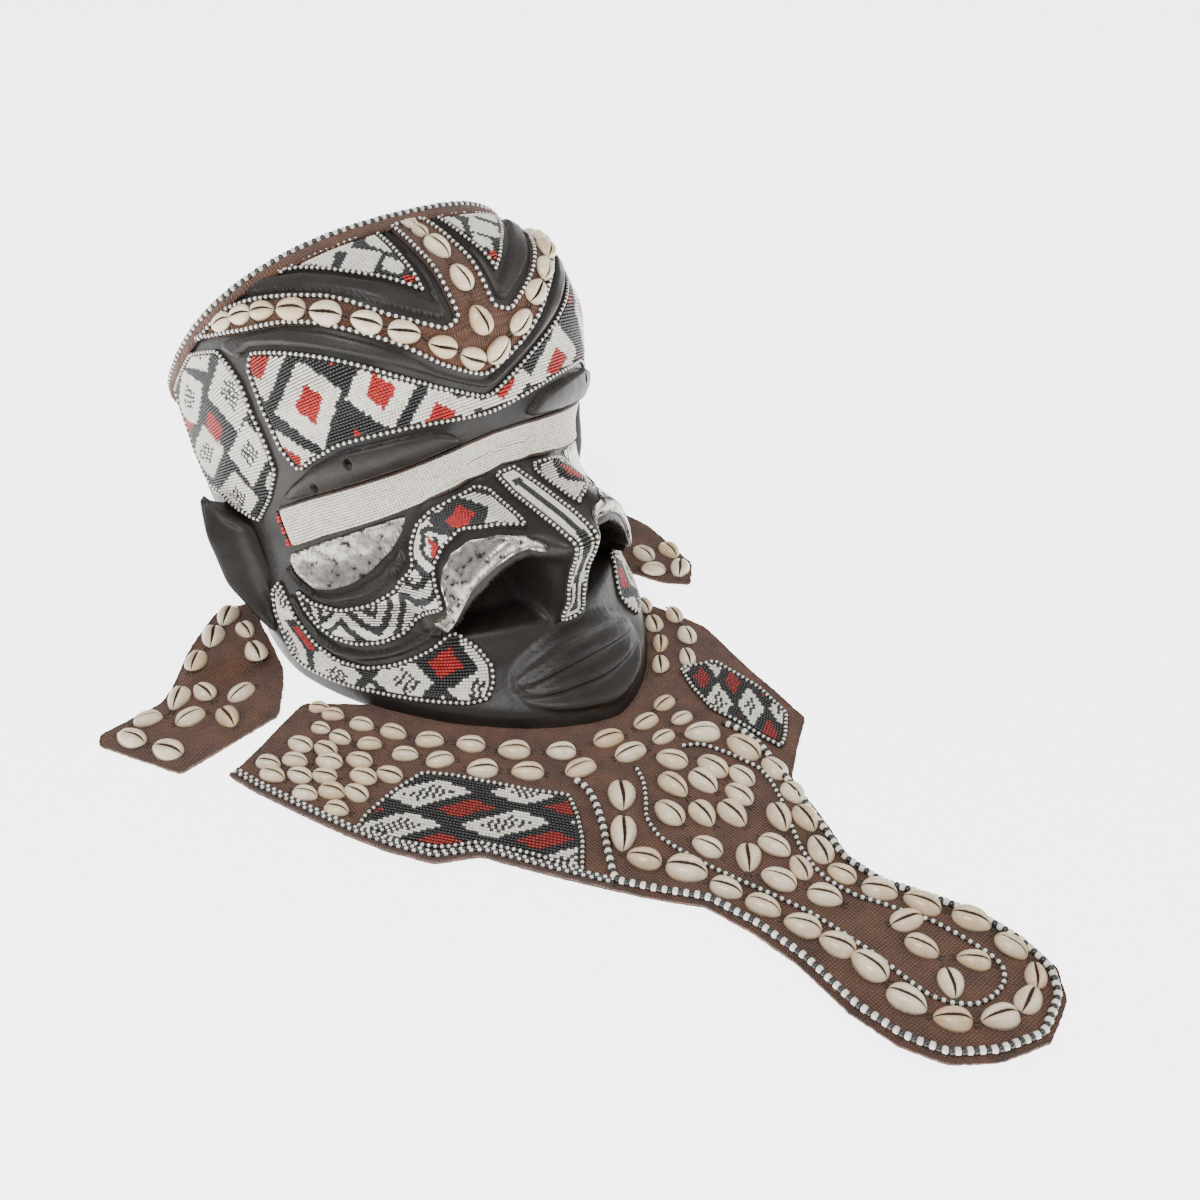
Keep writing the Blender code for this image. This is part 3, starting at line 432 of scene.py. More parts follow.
# ---- materials
def fresh(name):
    mat = bpy.data.materials.new(name)
    mat.use_nodes = True
    tree = mat.node_tree
    return mat, tree, tree.nodes["Principled BSDF"]


def node(tree, kind, **values):
    made = tree.nodes.new(kind)
    for key, value in values.items():
        if key in made.inputs:
            made.inputs[key].default_value = value
        else:
            setattr(made, key, value)
    return made


def noise(tree, scale, detail=3.0, rough=0.5, vector=None):
    made = node(tree, "ShaderNodeTexNoise", Scale=scale, Detail=detail, Roughness=rough)
    spot = vector or node(tree, "ShaderNodeTexCoord").outputs["Object"]
    tree.links.new(spot, made.inputs["Vector"])
    return made.outputs["Fac"]


def ramp(tree, fac, stops):
    made = tree.nodes.new("ShaderNodeValToRGB")
    points = made.color_ramp.elements
    while len(points) < len(stops):
        points.new(0.5)
    for point, (at, colour) in zip(points, stops):
        point.position = at
        point.color = (*colour, 1) if len(colour) == 3 else colour
    tree.links.new(fac, made.inputs["Fac"])
    return made.outputs["Color"]


def bump(tree, bsdf, height, strength, distance, under=None):
    made = node(tree, "ShaderNodeBump", Strength=strength, Distance=distance)
    tree.links.new(height, made.inputs["Height"])
    if under is not None:
        tree.links.new(under, made.inputs["Normal"])
    tree.links.new(made.outputs["Normal"], bsdf.inputs["Normal"])
    return made.outputs["Normal"]


# darkest, middle and lightest tone of the wood
WOOD_TONES = [(0.30, (0.008, 0.0064, 0.0055)), (0.55, (0.014, 0.011, 0.009)),
              (0.80, (0.030, 0.021, 0.015))]


def wood_material():
    mat, tree, bsdf = fresh("dark carved wood")
    tone = noise(tree, 34, 6, 0.6)
    colour = ramp(tree, tone, WOOD_TONES)
    tree.links.new(colour, bsdf.inputs["Base Color"])
    gloss = ramp(tree, noise(tree, 60, 4), [(0.3, (0.34,) * 3), (0.75, (0.50,) * 3)])
    tree.links.new(gloss, bsdf.inputs["Roughness"])
    bsdf.inputs["Specular IOR Level"].default_value = 0.34
    grain = bump(tree, bsdf, noise(tree, 420, 3), 0.25, 0.0006)
    bump(tree, bsdf, noise(tree, 90, 4), 0.35, 0.0015, grain)
    return mat


def bead_material(name, colour, other, rough=0.28):
    mat, tree, bsdf = fresh(name)
    own = node(tree, "ShaderNodeNewGeometry").outputs["Random Per Island"]
    mixed = ramp(tree, own, [(0.0, other), (0.35, colour), (1.0, colour)])
    tree.links.new(mixed, bsdf.inputs["Base Color"])
    bsdf.inputs["Roughness"].default_value = rough
    bsdf.inputs["Coat Weight"].default_value = 0.25
    bsdf.inputs["Coat Roughness"].default_value = 0.15
    return mat


def raffia_material(name, dark, light, pitch=0.0017):
    mat, tree, bsdf = fresh(name)
    spot = node(tree, "ShaderNodeTexCoord").outputs["Object"]
    scale = 0.314 / pitch
    waves = []
    for direction in ("X", "Y"):
        wave = node(tree, "ShaderNodeTexWave", bands_direction=direction, Scale=scale,
                    Distortion=3.0, Detail=2.0)
        wave.inputs["Detail Scale"].default_value = 0.6
        tree.links.new(spot, wave.inputs["Vector"])
        waves.append(wave.outputs["Fac"])
    # painted shade: the weave darkens the colour in the gaps between the threads, where shade
    # falls; the same weave also drives the bump
    weave = node(tree, "ShaderNodeMath", operation="MULTIPLY")
    tree.links.new(waves[0], weave.inputs[0])
    tree.links.new(waves[1], weave.inputs[1])
    tone = ramp(tree, noise(tree, 55, 5, 0.65), [(0.3, dark), (0.75, light)])
    shade = node(tree, "ShaderNodeMix", data_type="RGBA", blend_type="MULTIPLY")
    shade.inputs[0].default_value = 0.8
    tree.links.new(tone, shade.inputs[6])
    tree.links.new(weave.outputs[0], shade.inputs[7])
    lift = node(tree, "ShaderNodeMix", data_type="RGBA")
    lift.inputs[0].default_value = 0.25
    tree.links.new(shade.outputs[2], lift.inputs[6])
    tree.links.new(tone, lift.inputs[7])
    tree.links.new(lift.outputs[2], bsdf.inputs["Base Color"])
    bsdf.inputs["Roughness"].default_value = 0.9
    bsdf.inputs["Sheen Weight"].default_value = 0.15
    first = bump(tree, bsdf, weave.outputs[0], 1.0, 0.0012)
    bump(tree, bsdf, noise(tree, 700, 3, 0.7), 0.5, 0.0006, first)
    return mat


def metal_material():
    mat, tree, bsdf = fresh("hammered tinned metal")
    spots = noise(tree, 190, 5, 0.62)
    colour = ramp(tree, spots, [(0.36, (0.03, 0.027, 0.023)), (0.44, (0.25, 0.235, 0.21)),
                                (0.70, (0.50, 0.475, 0.43))])
    tree.links.new(colour, bsdf.inputs["Base Color"])
    rough = ramp(tree, spots, [(0.34, (0.6,) * 3), (0.45, (0.27,) * 3)])
    tree.links.new(rough, bsdf.inputs["Roughness"])
    bsdf.inputs["Metallic"].default_value = 1.0
    first = bump(tree, bsdf, noise(tree, 90, 2), 0.22, 0.002)
    bump(tree, bsdf, noise(tree, 700, 2), 0.08, 0.0003, first)
    return mat


def shell_material():
    mat, tree, bsdf = fresh("cowrie shell")
    own = node(tree, "ShaderNodeNewGeometry").outputs["Random Per Island"]
    tint = ramp(tree, own, [(0.0, (0.62, 0.46, 0.28)), (0.4, (0.72, 0.58, 0.40)),
                            (1.0, (0.78, 0.67, 0.50))])
    stain = ramp(tree, noise(tree, 120, 4), [(0.35, (0.62, 0.47, 0.30)), (0.55, (1, 1, 1))])
    both = node(tree, "ShaderNodeMix", data_type="RGBA", blend_type="MULTIPLY")
    both.inputs[0].default_value = 0.35
    tree.links.new(tint, both.inputs[6])
    tree.links.new(stain, both.inputs[7])
    tree.links.new(both.outputs[2], bsdf.inputs["Base Color"])
    bsdf.inputs["Roughness"].default_value = 0.22
    bsdf.inputs["Coat Weight"].default_value = 0.4
    bsdf.inputs["Coat Roughness"].default_value = 0.1
    bsdf.inputs["Subsurface Weight"].default_value = 0.08
    bsdf.inputs["Subsurface Radius"].default_value = (0.003, 0.002, 0.001)
    return mat


def plain(name, colour, rough):
    mat, tree, bsdf = fresh(name)
    tone = ramp(tree, noise(tree, 160, 3), [
        (0.3, tuple(0.75 * c for c in colour)), (0.7, tuple(min(1.2 * c, 1) for c in colour))])
    tree.links.new(tone, bsdf.inputs["Base Color"])
    bsdf.inputs["Roughness"].default_value = rough
    return mat


WOOD = wood_material()
WHITE = bead_material("white glass beads", (0.78, 0.75, 0.68), (0.66, 0.59, 0.46))
BLACK = bead_material("black glass beads", (0.012, 0.012, 0.013), (0.02, 0.02, 0.022), 0.22)
RED = bead_material("red glass beads", (0.36, 0.012, 0.010), (0.26, 0.009, 0.008))
DEEP_RED = bead_material("dark red glass beads", (0.22, 0.012, 0.008), (0.15, 0.009, 0.006))
BACKING = plain("dark thread backing", (0.035, 0.028, 0.022), 0.9)
RAFFIA = raffia_material("brown raffia cloth", (0.095, 0.032, 0.013), (0.270, 0.098, 0.040))
THREAD = raffia_material("brown raffia thread", (0.075, 0.028, 0.012), (0.17, 0.072, 0.034), 0.0009)
SHELL = shell_material()
# painted shade: the slits of the cowries get a dark brown that stands for the shade inside their
# narrow openings
SLIT = plain("painted shade in shell slits", (0.045, 0.024, 0.013), 0.8)
METAL = metal_material()
BEADED = [BACKING, WHITE, BLACK, RED, DEEP_RED]
W, K, R, D = 1, 2, 3, 4


# ---- strings and rows of beads
def run(points, ups, closed=False):
    # a path with its length, ready for things to be set along it
    if closed:
        points = np.concatenate((points, points[:1]))
        ups = np.concatenate((ups, ups[:1]))
    size = np.linalg.norm(np.diff(points, axis=0), axis=1)
    far = np.concatenate(([0.0], np.cumsum(size)))
    return points, ups, far


def at_length(path, where):
    points, ups, far = path
    where = np.clip(where, 0, far[-1])
    spot = np.stack([np.interp(where, far, points[:, k]) for k in range(3)], 1)
    up = np.stack([np.interp(where, far, ups[:, k]) for k in range(3)], 1)
    step = 0.6
    a = np.stack([np.interp(np.clip(where - step, 0, far[-1]), far, points[:, k])
                  for k in range(3)], 1)
    b = np.stack([np.interp(np.clip(where + step, 0, far[-1]), far, points[:, k])
                  for k in range(3)], 1)
    return spot, b - a, up


def string(path, kinds, lift=0.0):
    # beads in turn along a path. Each kind is (length, radius, colour)
    total = path[2][-1]
    once = sum(k[0] for k in kinds)
    rounds = max(int(round(total / once)), 1)
    scale = total / (rounds * once)
    sizes = np.array([k[0] for k in kinds] * rounds) * scale
    wide = np.array([k[1] for k in kinds] * rounds)
    tint = np.array([k[2] for k in kinds] * rounds)
    middle = np.cumsum(sizes) - sizes / 2
    spot, axis, up = at_length(path, middle)
    wide = wide * (1 + rng.uniform(-0.05, 0.05, len(wide)))
    spot = spot + unit(up) * (lift + rng.uniform(-0.12, 0.12, len(wide)))[:, None]
    size = np.stack([sizes * 0.99, wide, wide], 1)
    return copies(ROUND, spot, axis, up, size, tint)


def lifted(path, place, lift):
    # places and ways up of a flat path
    base = place(path)
    return place(path, lift), place(path, 1.0) - base


BORDER = [(1.85, 1.12, W), (1.85, 1.08, K)]


def border(outline, place, gap, lift, kinds=BORDER):
    path = moved_in(outline, place, gap)
    pts, ups = lifted(path, place, lift)
    return pts, string(run(pts, ups, True), kinds)


def spans(outline, v):
    # where a level line crosses an outline
    x0, y0 = outline[:, 0], outline[:, 1]
    x1, y1 = np.roll(x0, -1), np.roll(y0, -1)
    cross = (y0 > v) != (y1 > v)
    at = np.sort(x0[cross] + (v - y0[cross]) * (x1 - x0)[cross] / (y1 - y0)[cross])
    return list(zip(at[0::2], at[1::2]))


def bead_rows(rows, place, lift, keep_off, room, pitch, wide, colour):
    # one row of seed beads on each path, clear of the border
    spots, axes, ups, sizes, tints = [], [], [], [], []
    for row in rows:
        base = place(row)
        path = run(place(row, lift), place(row, 1.0) - base)
        total = path[2][-1]
        n = int(total / pitch)
        if n < 1:
            continue
        where = (np.arange(n) + 0.5) * total / n
        spot, axis, up = at_length(path, where)
        flat = np.stack([np.interp(where, path[2], row[:, k]) for k in range(2)], 1)
        ok = nearest(spot, keep_off) > room
        spots.append(spot[ok])
        axes.append(axis[ok])
        ups.append(up[ok])
        flat = flat[ok]
        tints.append(colour(flat))
        r = wide(flat) if callable(wide) else np.full(len(flat), wide)
        sizes.append(np.stack([np.full(len(flat), total / n * 0.985), r, r], 1))
    spots, axes, ups = map(np.concatenate, (spots, axes, ups))
    sizes, tints = np.concatenate(sizes), np.concatenate(tints)
    sizes *= 1 + rng.uniform(-0.04, 0.04, (len(spots), 1))
    spots = spots + unit(ups) * rng.uniform(-0.10, 0.10, (len(spots), 1))
    return copies(SEED, spots, axes, ups, sizes, tints)


PITCH = 2.0
ROW = 2.0
BACK_HIGH = 0.8
BEAD_LIFT = 1.25
BORDER_LIFT = 1.45
BORDER_GAP = 1.4
BORDER_ROOM = 1.95


def level_rows(outline, place, rows_apart=ROW):
    # level rows inside an outline, evenly spaced up its middle
    lo, hi = outline.min(0), outline.max(0)
    vs = np.linspace(lo[1], hi[1], 200)
    # the rows are spaced for columns that are longer than the middle one too
    sizes = []
    for share in (0.15, 0.35, 0.5, 0.65, 0.85):
        column = np.full(200, lo[0] + (hi[0] - lo[0]) * share)
        pts = place(np.stack([column, vs], 1))
        sizes.append(np.linalg.norm(np.diff(pts, axis=0), axis=1))
    size = (np.max(sizes, 0) + np.mean(sizes, 0)) / 2
    up = np.concatenate(([0.0], np.cumsum(size)))
    n = int(up[-1] / rows_apart)
    levels = np.interp((np.arange(n) + 0.5) * up[-1] / n, up, vs)
    rows = []
    for v in levels:
        for a, b in spans(outline, v):
            m = max(int((b - a) * 4), 8)
            us = np.linspace(a, b, m)
            rows.append(np.stack([us, np.full(m, v)], 1))
    step = (hi[1] - lo[1]) / n

    def wide(flat):
        apart = np.linalg.norm(place(flat + [0, step / 2]) - place(flat - [0, step / 2]), axis=1)
        return np.clip(apart * 0.52, 0.6, 1.7)
    return rows, wide


def panel(name, outline, place, colour, node_name):
    # sewn panel: backing, rows of seed beads, and a border of larger beads
    line = dense(outline, place)
    body = plate(line, place, level(0.0), level(BACK_HIGH), 5.0)
    edge, beads = border(line, place, BORDER_GAP, BORDER_LIFT)
    rows, wide = level_rows(line, place)
    field = bead_rows(rows, place, BEAD_LIFT, edge, BORDER_ROOM, PITCH, wide, colour)
    return piece(name, [body, beads, field], BEADED, [node_name])


# ---- patterns of the panels, as turn and angle
DEGREE = np.array([2.1, 6.2])
CHECKS = -1
DASH = (0.95, 0.32)


def kite(turn, angle, half_turn, half_angle):
    return [(turn - half_turn, angle), (turn, angle + half_angle), (turn + half_turn, angle),
            (turn, angle - half_angle)]


def shrunk(corners, share):
    # the same figure drawn smaller about its middle
    pts = np.array(corners, float)
    mid = pts.mean(0)
    return mid + (pts - mid) * share


def holding(corners, paint, share=0.48):
    # a white figure and what its middle holds
    return [(shrunk(corners, 1.1), W), (shrunk(corners, share), paint)]


def bar(start, end, wide):
    # corners of a straight band between two places, its width in millimetres
    a, b = np.array(start) * DEGREE, np.array(end) * DEGREE
    side = np.array([a[1] - b[1], b[0] - a[0]])
    side = side * wide / 2 / np.linalg.norm(side)
    return np.array([a + side, b + side, b - side, a - side]) / DEGREE


def drawn(base, figures):
    # bead colours of a panel: figures painted one over the other on a base colour. Each is
    # its corners and its colour; CHECKS blackens every other dash
    def colour(flat):
        out = np.full(len(flat), base)
        odd = (np.floor(flat[:, 0] / DASH[0]) + np.floor(flat[:, 1] / DASH[1])) % 2 == 1
        for corners, paint in figures:
            hit = inside(flat, np.array(corners, float))
            if paint == CHECKS:
                out[hit & odd] = K
            else:
                out[hit] = paint
        return out
    return colour


def flipped(colour):
    return lambda flat: colour(flat * [-1, 1])


forehead = drawn(K, [
    *holding([(-66, 39), (-57, 42.5), (-47, 38.5), (-58, 35.3)], R),
    *holding([(-56, 33.6), (-44.5, 36.8), (-37, 33.2), (-44.5, 29)], R),
    *holding([(-34, 32.3), (-27, 35.2), (-16, 31.6), (-24.5, 28.6)], R),
    *holding([(-20, 28), (-12, 30.7), (-2.5, 27.9), (-11, 25.4)], R),
    *holding([(-5.5, 29), (2, 32), (9.5, 28.8), (3, 26)], R),
    *holding([(10, 28.4), (21, 32.4), (33, 29.6), (21, 26.2)], R),
    *holding([(-63, 29.6), (-59, 32.2), (-46.5, 27.8), (-54, 25.2)], R),
    *holding([(35, 33.4), (44, 37.2), (55, 34), (45, 29.8)], R),
    *holding([(63, 29.6), (59, 32.2), (46.5, 27.8), (54, 25.2)], R),
    *holding([(66, 39), (57, 42.5), (47, 38.5), (58, 35.3)], R),
    (kite(-36, 36.5, 3.2, 1.1), R), (kite(-34, 28.3, 3.6, 1.0), R),
    (kite(-63, 34.3, 3.2, 1.2), R), (kite(36, 28.2, 4.0, 1.1), R),
    (kite(63, 34.3, 3.2, 1.2), R), (kite(31, 35.0, 3.4, 1.1), R)])
temple = drawn(K, [
    *holding([(-78.5, 39.5), (-67, 41.8), (-62, 36.5), (-72, 33.9)], CHECKS),
    *holding([(-95, 42.6), (-84, 45.8), (-79.5, 41.5), (-88, 38.4)], CHECKS),
    *holding([(-78, 31.5), (-68, 34), (-62, 30.2), (-71, 26.8)], CHECKS),
    *holding([(-97, 34), (-86, 36.8), (-80.5, 32.6), (-89, 29.4)], CHECKS),
    *holding([(-81, 45.4), (-73, 48.6), (-66, 44.6), (-74, 42.4)], CHECKS),
    *holding([(-88, 26.6), (-78, 29), (-71, 25), (-80, 21.6)], CHECKS),
    (kite(-99, 38.4, 3.5, 2.6), W), (kite(-94, 27.2, 5, 2.4), W), (kite(-63.5, 26.2, 3, 1.6), W),
    ([(-85, 36.6), (-81, 38.2), (-77.6, 35), (-82, 33.4)], R),
    ([(-96, 39.8), (-92.5, 41), (-89, 38.6), (-93, 37.4)], R),
    ([(-64.8, 34.6), (-61, 36.2), (-58, 33.4), (-62, 32.2)], R)])
crown = drawn(K, [
    (kite(-24, 45.6, 7, 2.0), W), (kite(-15, 43.3, 5.5, 1.9), W),
    *holding(kite(-16, 46.6, 5, 1.8), R), (kite(-7.5, 45.0, 3.4, 2.2), W),
    (kite(-9.5, 41.6, 2.6, 1.3), W), (kite(-31, 45.6, 3, 1.2), W),
    (kite(-8.8, 39.6, 2.6, 0.9), R)])
cheek = drawn(W, [
    (bar((-63.5, 5), (-55, 1.6), 4.5), K), (bar((-53.5, 5.2), (-66.5, 1.4), 4.5), K),
    (bar((-50.5, 1.4), (-42, 3.6), 5.0), K), (bar((-43.5, 3.6), (-39.5, 1.2), 5.0), K),
    ([(-46, 5.5), (-33.8, 8.4), (-30.8, 4.7), (-42.5, 2.9)], K),
    ([(-42.3, 5.5), (-35.6, 6.9), (-34.6, 4.9), (-41.3, 4)], R),
    ([(-53.6, 3.5), (-49.2, 4.8), (-46.4, 3.6), (-51.4, 2.4)], CHECKS),
    ([(-72.4, 2.8), (-68.2, 3.9), (-64.8, 2.9), (-70, 1.8)], CHECKS),
    ([(-38, 2.9), (-32.5, 4), (-28, 3.2), (-36, 2)], CHECKS),
    (bar((-78, 2.0), (-75.5, 5), 5.5), K), (bar((-79, 8), (-74.5, 4.6), 13.0), K),
    (bar((-78, 7.2), (-74.4, 4.8), 7.0), R),
    ([(-79.5, 12), (-76.2, 12.4), (-77.4, 9.6), (-81.6, 9)], CHECKS),
    ([(-86.5, 5.6), (-82.8, 6.4), (-81.6, 3.4), (-85, 2.8)], CHECKS)])

CRESCENT_MIDDLE = [(-70.5, 11.6), (-69, 9.9), (-65.5, 8.7), (-60, 8.4), (-54, 8.7), (-48, 9.4),
                   (-42, 10.5), (-37.5, 12), (-34.5, 13.9), (-31.5, 15.8), (-27, 17.7),
                   (-21, 18.9), (-13, 19.3), (-8.5, 19.2)]
ZIGZAG = [(-68.5, 7.9), (-58, 10.1), (-51, 7.4), (-42, 11.8), (-32.5, 14), (-29, 17.7),
          (-23, 17.2)]
STRIPE_APART = 9.2
STRIPE_SLOPE = 0.78
WHITE_SHARE = 0.27


def crescent_pattern():
    # nested zigzags run along the middle of the panel under the eye, beside the nose a red
    # diamond in black
    line = dense(CRESCENT_MIDDLE, on_head, 1.0, 8, False)
    base = on_head(line)
    way = unit(np.gradient(base, axis=0))
    up = unit(on_head(line, 1.0) - base)
    side = np.cross(up, way)
    far = run(base, up)[2]

    def along_and_off(flat):
        spot = on_head(flat)
        k = ((spot[:, None] - base[None]) ** 2).sum(-1).argmin(1)
        away = spot - base[k]
        return far[k] + (away * way[k]).sum(1), (away * side[k]).sum(1)

    tip_at, tip_off = along_and_off(np.array(ZIGZAG))
    tip_at = np.concatenate(([2 * tip_at[0] - tip_at[1]], tip_at))
    tip_off = np.concatenate(([tip_off[1]], tip_off))
    nose = [([(-16.5, 21), (-6, 21), (-6, 16.5), (-28, 15.6), (-25, 17.2), (-15, 18.4)], W),
            (bar((-14.5, 20.6), (-9, 19.6), 3.6), K),
            ([(-25.8, 18.4), (-17, 20.1), (-13.6, 18.7), (-25.4, 16.5)], K),
            ([(-23.4, 18.2), (-18.2, 19.4), (-17.2, 18.6), (-23.3, 17.4)], R),
            ([(-28.4, 17), (-32.4, 14), (-28.4, 15.4)], R)]

    def colour(flat):
        at, off = along_and_off(flat)
        part = (off - np.interp(at, tip_at, tip_off)) * STRIPE_SLOPE / STRIPE_APART
        out = np.where(np.abs((part + 0.5) % 1.0 - 0.5) < WHITE_SHARE, W, K)
        for corners, paint in nose:
            out[inside(flat, np.array(corners, float))] = paint
        return out
    return colour


crescent = crescent_pattern()


def nose_stripes(flat):
    # long stripes down the nose: white, black, white
    u, v = np.abs(flat[:, 0]), flat[:, 1]
    half = np.interp(v, [7, 9.4, 12.6, 17, 21], [2.2, 1.4, 1.5, 1.7, 1.4])
    out = np.where(u < half, K, W)
    out[(v > 19.9) | (v < 8.1)] = W
    return out


for tag, turned, tinted in (("right", lambda p: p, lambda c: c), ("left", other_side, flipped)):
    panel("temple_beads_" + tag, turned(TEMPLE), on_head, tinted(temple),
          "temple_bead_panel_" + tag)
    panel("crown_beads_" + tag, turned(CROWN), on_head, tinted(crown),
          "crown_bead_panel_" + tag)
    panel("under_eye_beads_" + tag, turned(CRESCENT), on_head, tinted(crescent),
          "under_eye_bead_panel_" + tag)
    panel("cheek_beads_" + tag, turned(CHEEK), on_head, tinted(cheek),
          "cheek_bead_panel_" + tag)
panel("forehead_beads", FOREHEAD, on_head, forehead, "forehead_bead_panel")
panel("nose_beads", NOSE_STRIP, on_head, nose_stripes, "nose_bead_strip")


# ---- the white band over the brows, its rows running along it
def brow_band():
    us = np.linspace(-64, 64, 200)
    top = np.interp(np.abs(us), BAND_UP[:, 0], BAND_UP[:, 1])
    low = np.interp(np.abs(us), BAND_DOWN[:, 0], BAND_DOWN[:, 1])
    ring = np.concatenate((np.stack([us, low], 1), np.stack([us[::-1], top[::-1]], 1)))
    line = dense(ring, on_head, 1.3, 4)
    body = plate(line, on_head, level(0.0), level(1.1), 5.0, W)
    rows = []
    count = 13
    for k in range(count):
        share = (k + 0.6) / (count + 0.2)
        rows.append(np.stack([us, low + (top - low) * share], 1)[2:-2])
    far_off = np.full((1, 3), 1e6)
    apart = np.linalg.norm(on_head(np.array([[-30.0, 24.0]])) - on_head(np.array([[-30.0, 20.0]])))
    field = bead_rows(rows, on_head, 1.9, far_off, 1.0, 1.95, apart / count * 0.52,
                      lambda flat: np.full(len(flat), W))
    edges = []
    for path in (np.stack([us, low], 1), np.stack([us, top], 1)):
        pts, ups = lifted(path, on_head, 0.9)
        edges.append(cord_body(pts, ups, 0.9, 5))
    ends = []
    for side in (-1, 1):
        vs = np.linspace(17.9, 22.8, 20)
        pts, ups = lifted(np.stack([np.full(20, side * 64.8), vs], 1), on_head, 1.6)
        ends.append(string(run(pts, ups), [(3.0, 1.6, R), (2.6, 1.3, R), (2.6, 1.3, K)]))
    return piece("brow_band_beads", [body, field, *edges, *ends], BEADED + [THREAD],
                 ["brow_bead_band"])


def cord_body(points, ups, radius, mat, sides=8, closed=False):
    # round cord along a path
    path = run(points, ups, closed)
    if closed:
        points, ups = path[0][:-1], path[1][:-1]
        way = unit(np.roll(points, -1, 0) - np.roll(points, 1, 0))
    else:
        way = unit(np.gradient(points, axis=0))
    side = unit(np.cross(ups, way))
    up = np.cross(way, side)
    t = np.arange(sides) * 2 * math.pi / sides
    r = np.broadcast_to(np.asarray(radius, float), (len(points),))[:, None, None]
    v = (points[:, None] + r * (np.cos(t)[None, :, None] * side[:, None]
                                + np.sin(t)[None, :, None] * up[:, None])).reshape(-1, 3)
    n = len(points)
    quads = []
    for k in range(n if closed else n - 1):
        a, b = k * sides, ((k + 1) % n) * sides
        for e in range(sides):
            f = (e + 1) % sides
            quads.append([a + e, a + f, b + f, b + e])
    blocks = [(np.array(quads), mat)]
    if not closed:
        blocks.append((np.array([list(range(sides - 1, -1, -1)),
                                 [(n - 1) * sides + e for e in range(sides)]]), mat))
    return v, blocks


brow_band()


# ---- carved wood
def even_steps(values, lengths, step):
    # values picked so that the lengths between them are about one step
    n = max(int(round(lengths[-1] / step)), 2)
    return np.interp(np.linspace(0, lengths[-1], n + 1), lengths, values)


WOOD_STEP = 2.3
BACK_STEP = 5.0


def wood_shell():
    us = np.linspace(-180, 180, 1441)
    size = np.zeros(len(us) - 1)
    for angle in (6.0, 16.0, 34.0):
        size += np.linalg.norm(np.diff(head(us, np.full(len(us), angle)), axis=0), axis=1) / 3
    mid = (us[1:] + us[:-1]) / 2
    size *= np.where(np.abs(mid) < 96, 1.0, WOOD_STEP / BACK_STEP)
    cols = even_steps(us, np.concatenate(([0], np.cumsum(size))), WOOD_STEP)
    vs = np.linspace(0, RIM_ANGLE, 900)
    size = np.zeros(len(vs) - 1)
    for turn in (0.0, -25.0, -55.0):
        size += np.linalg.norm(np.diff(head(np.full(len(vs), turn), vs), axis=0), axis=1) / 3
    rows = even_steps(vs, np.concatenate(([0], np.cumsum(size))), WOOD_STEP)
    cols = cols[:-1]
    nc = len(cols)
    grid = head(*np.meshgrid(cols, rows))
    inner_rows = np.linspace(0, RIM_ANGLE, 26)
    uu, vv = np.meshgrid(cols, inner_rows)
    x, reach = oval(uu, vv, WALL_FRONT, WALL_SIDE, WALL_BACK)
    hollow = fan(x, reach, vv)
    verts = np.concatenate((grid.reshape(-1, 3), hollow.reshape(-1, 3)))
    j = np.arange(nc)
    k = (j + 1) % nc
    faces = []
    for i in range(len(rows) - 1):
        faces.append(np.stack([i * nc + j, i * nc + k, (i + 1) * nc + k, (i + 1) * nc + j], 1))
    base = len(rows) * nc
    for i in range(len(inner_rows) - 1):
        a = base + i * nc
        faces.append(np.stack([a + j, a + nc + j, a + nc + k, a + k], 1))
    top = (len(rows) - 1) * nc
    inner_top = base + (len(inner_rows) - 1) * nc
    faces.append(np.stack([j, base + j, base + k, k], 1))
    faces.append(np.stack([top + j, top + k, inner_top + k, inner_top + j], 1))
    return verts, [(np.concatenate(faces), 0)]


def ridge(outline, high, soft, step=1.3, holes=()):
    # rounded ridge standing on the wood over an outline, with drilled holes
    line = dense(outline, on_head, 0.9, 8)
    bores = on_head(np.array(holes, float).reshape(-1, 2))

    def top(flat, away):
        t = np.clip(away / soft, 0, 1)
        out = -0.6 + (high + 0.6) * np.sqrt(1 - (1 - t) ** 2)
        here = on_head(flat)
        for bore in bores:
            out = np.where(((here - bore) ** 2).sum(1) < HOLE_RADIUS ** 2, -1.4, out)
        return out
    return plate(line, on_head, level(-2.0), top, step)


# level sections of the right ear: height, rim (x, y), where the section starts behind and
# ends in front (y), and how far out its foot lies (x)
EAR = np.array([(8, -127, 193, 197, 189, -125), (17, -133, 191, 199, 187, -125),
                (30, -140, 191, 203, 186, -125), (44, -146, 194, 208, 187, -125),
                (60, -152, 200, 222, 190, -125), (75, -153, 205, 234, 196, -125),
                (87, -154, 209, 239, 202, -125), (98, -152, 215, 236, 209, -138),
                (107, -149, 223, 229, 217, -144)])
EAR_BEHIND = [(0.0, 0.0), (0.45, 0.55), (0.85, 0.97)]
EAR_BEFORE = [(0.0, 1.0), (0.14, 0.9), (0.32, 0.45), (0.62, 0.32), (0.86, 0.26), (1.0, 0.0)]


def rounded(points, count):
    # smooth curve through the corners of an open path
    pts = np.array(points, float)
    far = np.concatenate(([0], np.cumsum(np.linalg.norm(np.diff(pts, axis=0), axis=1) + 1e-6)))
    table = np.column_stack((far, pts))
    at = np.linspace(0, far[-1], count)
    return np.stack([curve(table, at, 1), curve(table, at, 2)], 1)


